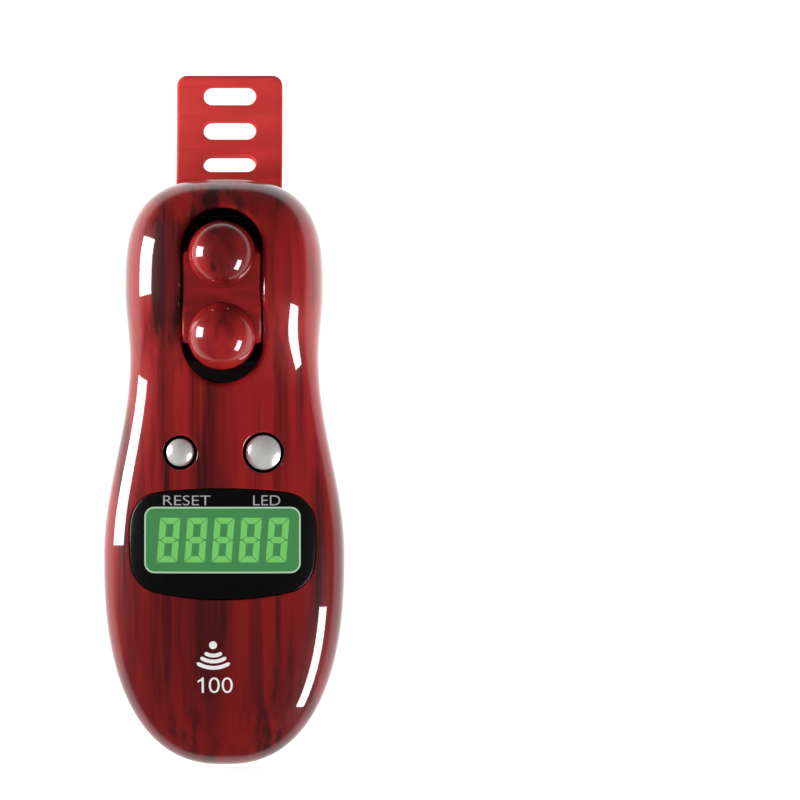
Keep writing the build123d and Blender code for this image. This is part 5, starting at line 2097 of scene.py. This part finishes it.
    def bent(self, number: int) -> Piece:
        """One stretch of the slotted half, bent across its joint.

        Args:
            number: index of the bend point.

        Returns:
            The stretch, bent across its joint, with the two bodies and the blend points at the joint kept on
            the piece.
        """
        is_root = number == 0
        has_tip = number == len(self.points) - 1
        heading = self.headings[number]
        joint = self.points[number]
        if is_root:
            turn = self.high_deg - self.root_lap_deg - self.root_tuck_deg
            start_heading = 90.0 - turn
            start = self.pad_point(turn)
        else:
            start_heading = self.headings[number - 1]
            start = joint - self.way(start_heading) * self.pitch / 2
        end = joint + self.way(heading) * (self.tip if has_tip else self.pitch / 2)
        before = (start - joint).length
        length = before + (end - joint).length
        mesh = self.flat(length, None if is_root else before, has_tip)
        sag = self.sag(number)
        for vert in mesh.verts:
            share = vert.co.y / length
            point, lean = self.curve(start, start_heading, end, heading, share)
            thick = vert.co.z
            if is_root:
                growth = (self.thickness - self.pad_thickness) * min(1.0, self.root_growth * share)
                thick *= (self.pad_thickness + growth) / self.thickness
            thick -= sag * math.sin(math.pi * share) ** 2
            vert.co = (vert.co.x, *(point + self.way(lean + 90.0) * thick))
        half = self.blend_share * self.pitch
        first = joint - self.way(start_heading) * min(half, before)
        last = joint + self.way(heading) * half
        blend = (
            self.bodies[number],
            self.bodies[number + 1],
            TO_ROW @ Vector((0.0, first.x, first.y)),
            TO_ROW @ Vector((0.0, last.x, last.y)),
        )
        return Piece(
            f"strap_stretch_{number + 1}", mesh, Finishes.STRAP, "strap_red",
            replaces=(self.nodes[number],), blend=blend,
        )

    def band_middle(self) -> Vector:
        """Centre in y and z of the pegged half's bend."""
        return Vector((self.pin_y + self.straight, self.form.pin_z + self.radius))

    def peg(self, turn: float) -> BMesh:
        """Flared peg on the pegged half.

        Args:
            turn: angle of the peg about the band's centre.

        Returns:
            The peg, with its foot inside the band.
        """
        out = unit(turn)
        along = Vector((-out.y, out.x))
        foot = self.band_middle() + out * self.radius
        top = self.thickness / 2 + self.peg_height
        levels = [*self.peg_stem, *[(top + drop, length, grow) for drop, length, grow in self.peg_head]]
        rings = []
        for height, length, grow in levels:
            shape = Outline.rounded(0.0, 0.0, self.peg_width + 2 * grow, length, self.peg_corner, steps=5)
            rings.append([Vector((p.x, *(foot + out * height + along * p.y))) for p in shape.points])
        return loft(rings)

    def bar(self, radius: float, half: float, sides: int) -> BMesh:
        """Round bar along x about the pin."""
        profile = [(0.0, -half), (radius, -half), (radius, half), (0.0, half)]
        return turned(profile, Vector((0.0, self.pin_y, self.form.pin_z)), TO_RIGHT, sides)

    def pegged(self) -> Piece:
        """Pegged half: eye, band and pegs.

        Returns:
            The piece.
        """
        path = []
        for step in range(self.straight_steps + 1):
            place = Vector((self.pin_y + self.straight * step / self.straight_steps, self.form.pin_z))
            path.append((place, 0.0, self.thickness))
        middle = self.band_middle()
        for step in range(1, self.sweep_steps + 1):
            turn = -90.0 + self.sweep_deg * step / self.sweep_steps
            share = max(0.0, (step - self.sweep_steps + self.end_steps) / self.end_steps)
            thickness = self.thickness * (1 - self.end_thinning * share**2)
            path.append((middle + self.way(turn) * self.radius, turn + 90.0, thickness))
        pitch = self.peg_pitch / (self.radius + self.thickness / 2)
        first = math.radians(self.peg_first_deg - 90.0)
        added = [self.bar(self.eye_radius, self.width / 2, self.eye_sides)]
        added += [self.peg(first + step * pitch) for step in range(self.pegs)]
        band = joined(self.swept(path), added, Join.ADD)
        mesh = joined(band, [self.bar(self.pin_radius, self.width, self.pin_sides)], Join.CUT)
        return Piece("pegged_half", mesh, Finishes.STRAP, "strap_red", "peg_half", ("pegged_band",))

    def pieces(self) -> list[Piece]:
        """All the pieces of the strap."""
        return [self.pad(), *[self.bent(number) for number in range(len(self.points))], self.pegged()]


@dataclass
class Softbox:
    """One lamp: where it is, how large it is and how bright its face is."""

    name: str
    place: tuple[float, float, float]
    width: float
    height: float
    radiance: float

    def light(self, target: Vector) -> None:
        """Make the lamp and turn it to the object.

        Args:
            target: point that it faces.
        """
        data = bpy.data.lights.new(self.name, "AREA")
        data.shape = "RECTANGLE"
        data.size = self.width
        data.size_y = self.height
        data.energy = self.radiance * math.pi * self.width * self.height
        lamp = bpy.data.objects.new(self.name, data)
        lamp.location = self.place
        lamp.rotation_mode = "QUATERNION"
        lamp.rotation_quaternion = (target - lamp.location).to_track_quat("-Z", "Y")
        lamp.visible_camera = False
        bpy.context.scene.collection.objects.link(lamp)


@dataclass
class Studio:
    """Floor, light and camera."""

    frame_mm: float = 123.04
    frame_x: float = 27.0
    frame_z: float = -15.9
    distance: float = 0.70
    sensor: float = 36.0
    clip_start: float = 0.01
    clip_end: float = 20.0
    front_level: float = 0.08
    rear_level: float = 1.2
    rear_from: float = -0.08
    rear_to: float = 0.22
    overhead_lean: float = 0.32
    floor_size: float = 6.0
    floor_gap: float = 0.0005
    floor_glow: float = 0.75
    softboxes: tuple[Softbox, ...] = (
        Softbox("left_softbox", (-0.41, -0.10, 0.06), 0.22, 0.19, 19.2),
        Softbox("right_softbox", (0.29, -0.15, -0.18), 0.105, 0.19, 19.2),
    )

    def floor(self) -> None:
        """Pale translucent table just under the object, which lets light from below through."""
        mesh = bmesh.new()
        bmesh.ops.create_grid(mesh, x_segments=2, y_segments=2, size=self.floor_size / 2)
        bmesh.ops.translate(mesh, vec=(0.0, 0.0, CAD_BOX[0].z - self.floor_gap), verts=mesh.verts)
        data = bpy.data.meshes.new("floor")
        mesh.to_mesh(data)
        mesh.free()
        made = bpy.data.objects.new("floor", data)
        bpy.context.scene.collection.objects.link(made)
        material = bpy.data.materials.new("pale_floor")
        material.use_nodes = True
        graph = Graph(material.node_tree)
        seen = graph.node("ShaderNodeLightPath").outputs["Is Camera Ray"]
        graph.surface({
            "Base Color": Tint.FLOOR.value,
            "Roughness": 0.9,
            "Specular IOR Level": 0.0,
            "Emission Color": Tint.CLEAR.value,
            "Emission Strength": Value(graph, seen) * self.floor_glow,
        })
        data.materials.append(material)
        made.visible_glossy = False
        made.visible_shadow = False

    def surroundings(self) -> None:
        """White surroundings behind the object and a dim studio in front of it and above it."""
        world = bpy.data.worlds.new("studio")
        bpy.context.scene.world = world
        world.use_nodes = True
        graph = Graph(world.node_tree)
        way = graph.node("ShaderNodeTexCoord").outputs["Generated"]
        parts = graph.node("ShaderNodeSeparateXYZ", None, {0: way}).outputs
        depth = Value(graph, parts["Y"]) - Value(graph, parts["Z"]).at_least(0.0) * self.overhead_lean
        rear = depth.step(self.rear_from, self.rear_to)
        lit = rear * (self.rear_level - self.front_level) + self.front_level
        ray = graph.node("ShaderNodeLightPath").outputs
        seen = Value(graph, ray["Is Camera Ray"]).at_least(Value(graph, ray["Is Transmission Ray"]))
        strength = lit.at_least(seen)
        shader = graph.node("ShaderNodeBackground", None, {"Color": Tint.CLEAR.value, "Strength": strength})
        graph.node("ShaderNodeOutputWorld", None, {"Surface": shader.outputs[0]})

    def camera(self) -> None:
        """Long lens in front of the object, with the photograph's frame."""
        data = bpy.data.cameras.new("camera")
        data.sensor_width = self.sensor
        data.lens = self.sensor * self.distance / (self.frame_mm * MM)
        data.clip_start = self.clip_start
        data.clip_end = self.clip_end
        made = bpy.data.objects.new("camera", data)
        made.location = (self.frame_x * MM, -FINGER_Y * MM - self.distance, self.frame_z * MM)
        made.rotation_euler = (math.pi / 2, 0.0, 0.0)
        bpy.context.scene.collection.objects.link(made)
        bpy.context.scene.camera = made

    def set_up(self) -> None:
        """Make the whole studio."""
        bpy.context.scene.view_settings.view_transform = "Standard"
        self.floor()
        self.surroundings()
        for softbox in self.softboxes:
            softbox.light(Vector((0.0, -FINGER_Y * MM, 0.0)))
        self.camera()


def dress_solids(shown: set[str]) -> None:
    """Give every solid that still shows its finish.

    Args:
        shown: names of the nodes that no piece replaces.
    """
    slots = {part["node"]: part["material_slot"] for part in frame["record"]["subparts"]}
    for name in sorted(shown):
        materials = frame["nodes"][name].data.materials
        materials.clear()
        materials.append(Finishes.BY_SLOT[slots[name]].material())


def main() -> None:
    """Build the studio and every piece, in order."""
    logging.basicConfig(level=logging.INFO, format="%(name)s %(message)s")
    Studio().set_up()
    form = CaseForm()
    window = WindowShape().outline()
    buttons = Buttons()
    parts = [
        Case(form, window, buttons), Mark(form), Display(form, window),
        buttons, BeadWheel(form), Strap(form),
    ]
    replaced: set[str] = set()
    for part in parts:
        for piece in part.pieces():
            replaced.update(piece.replaces)
            piece.place()
    dress_solids(set(frame["nodes"]) - replaced)


if __name__ == "__main__":
    main()
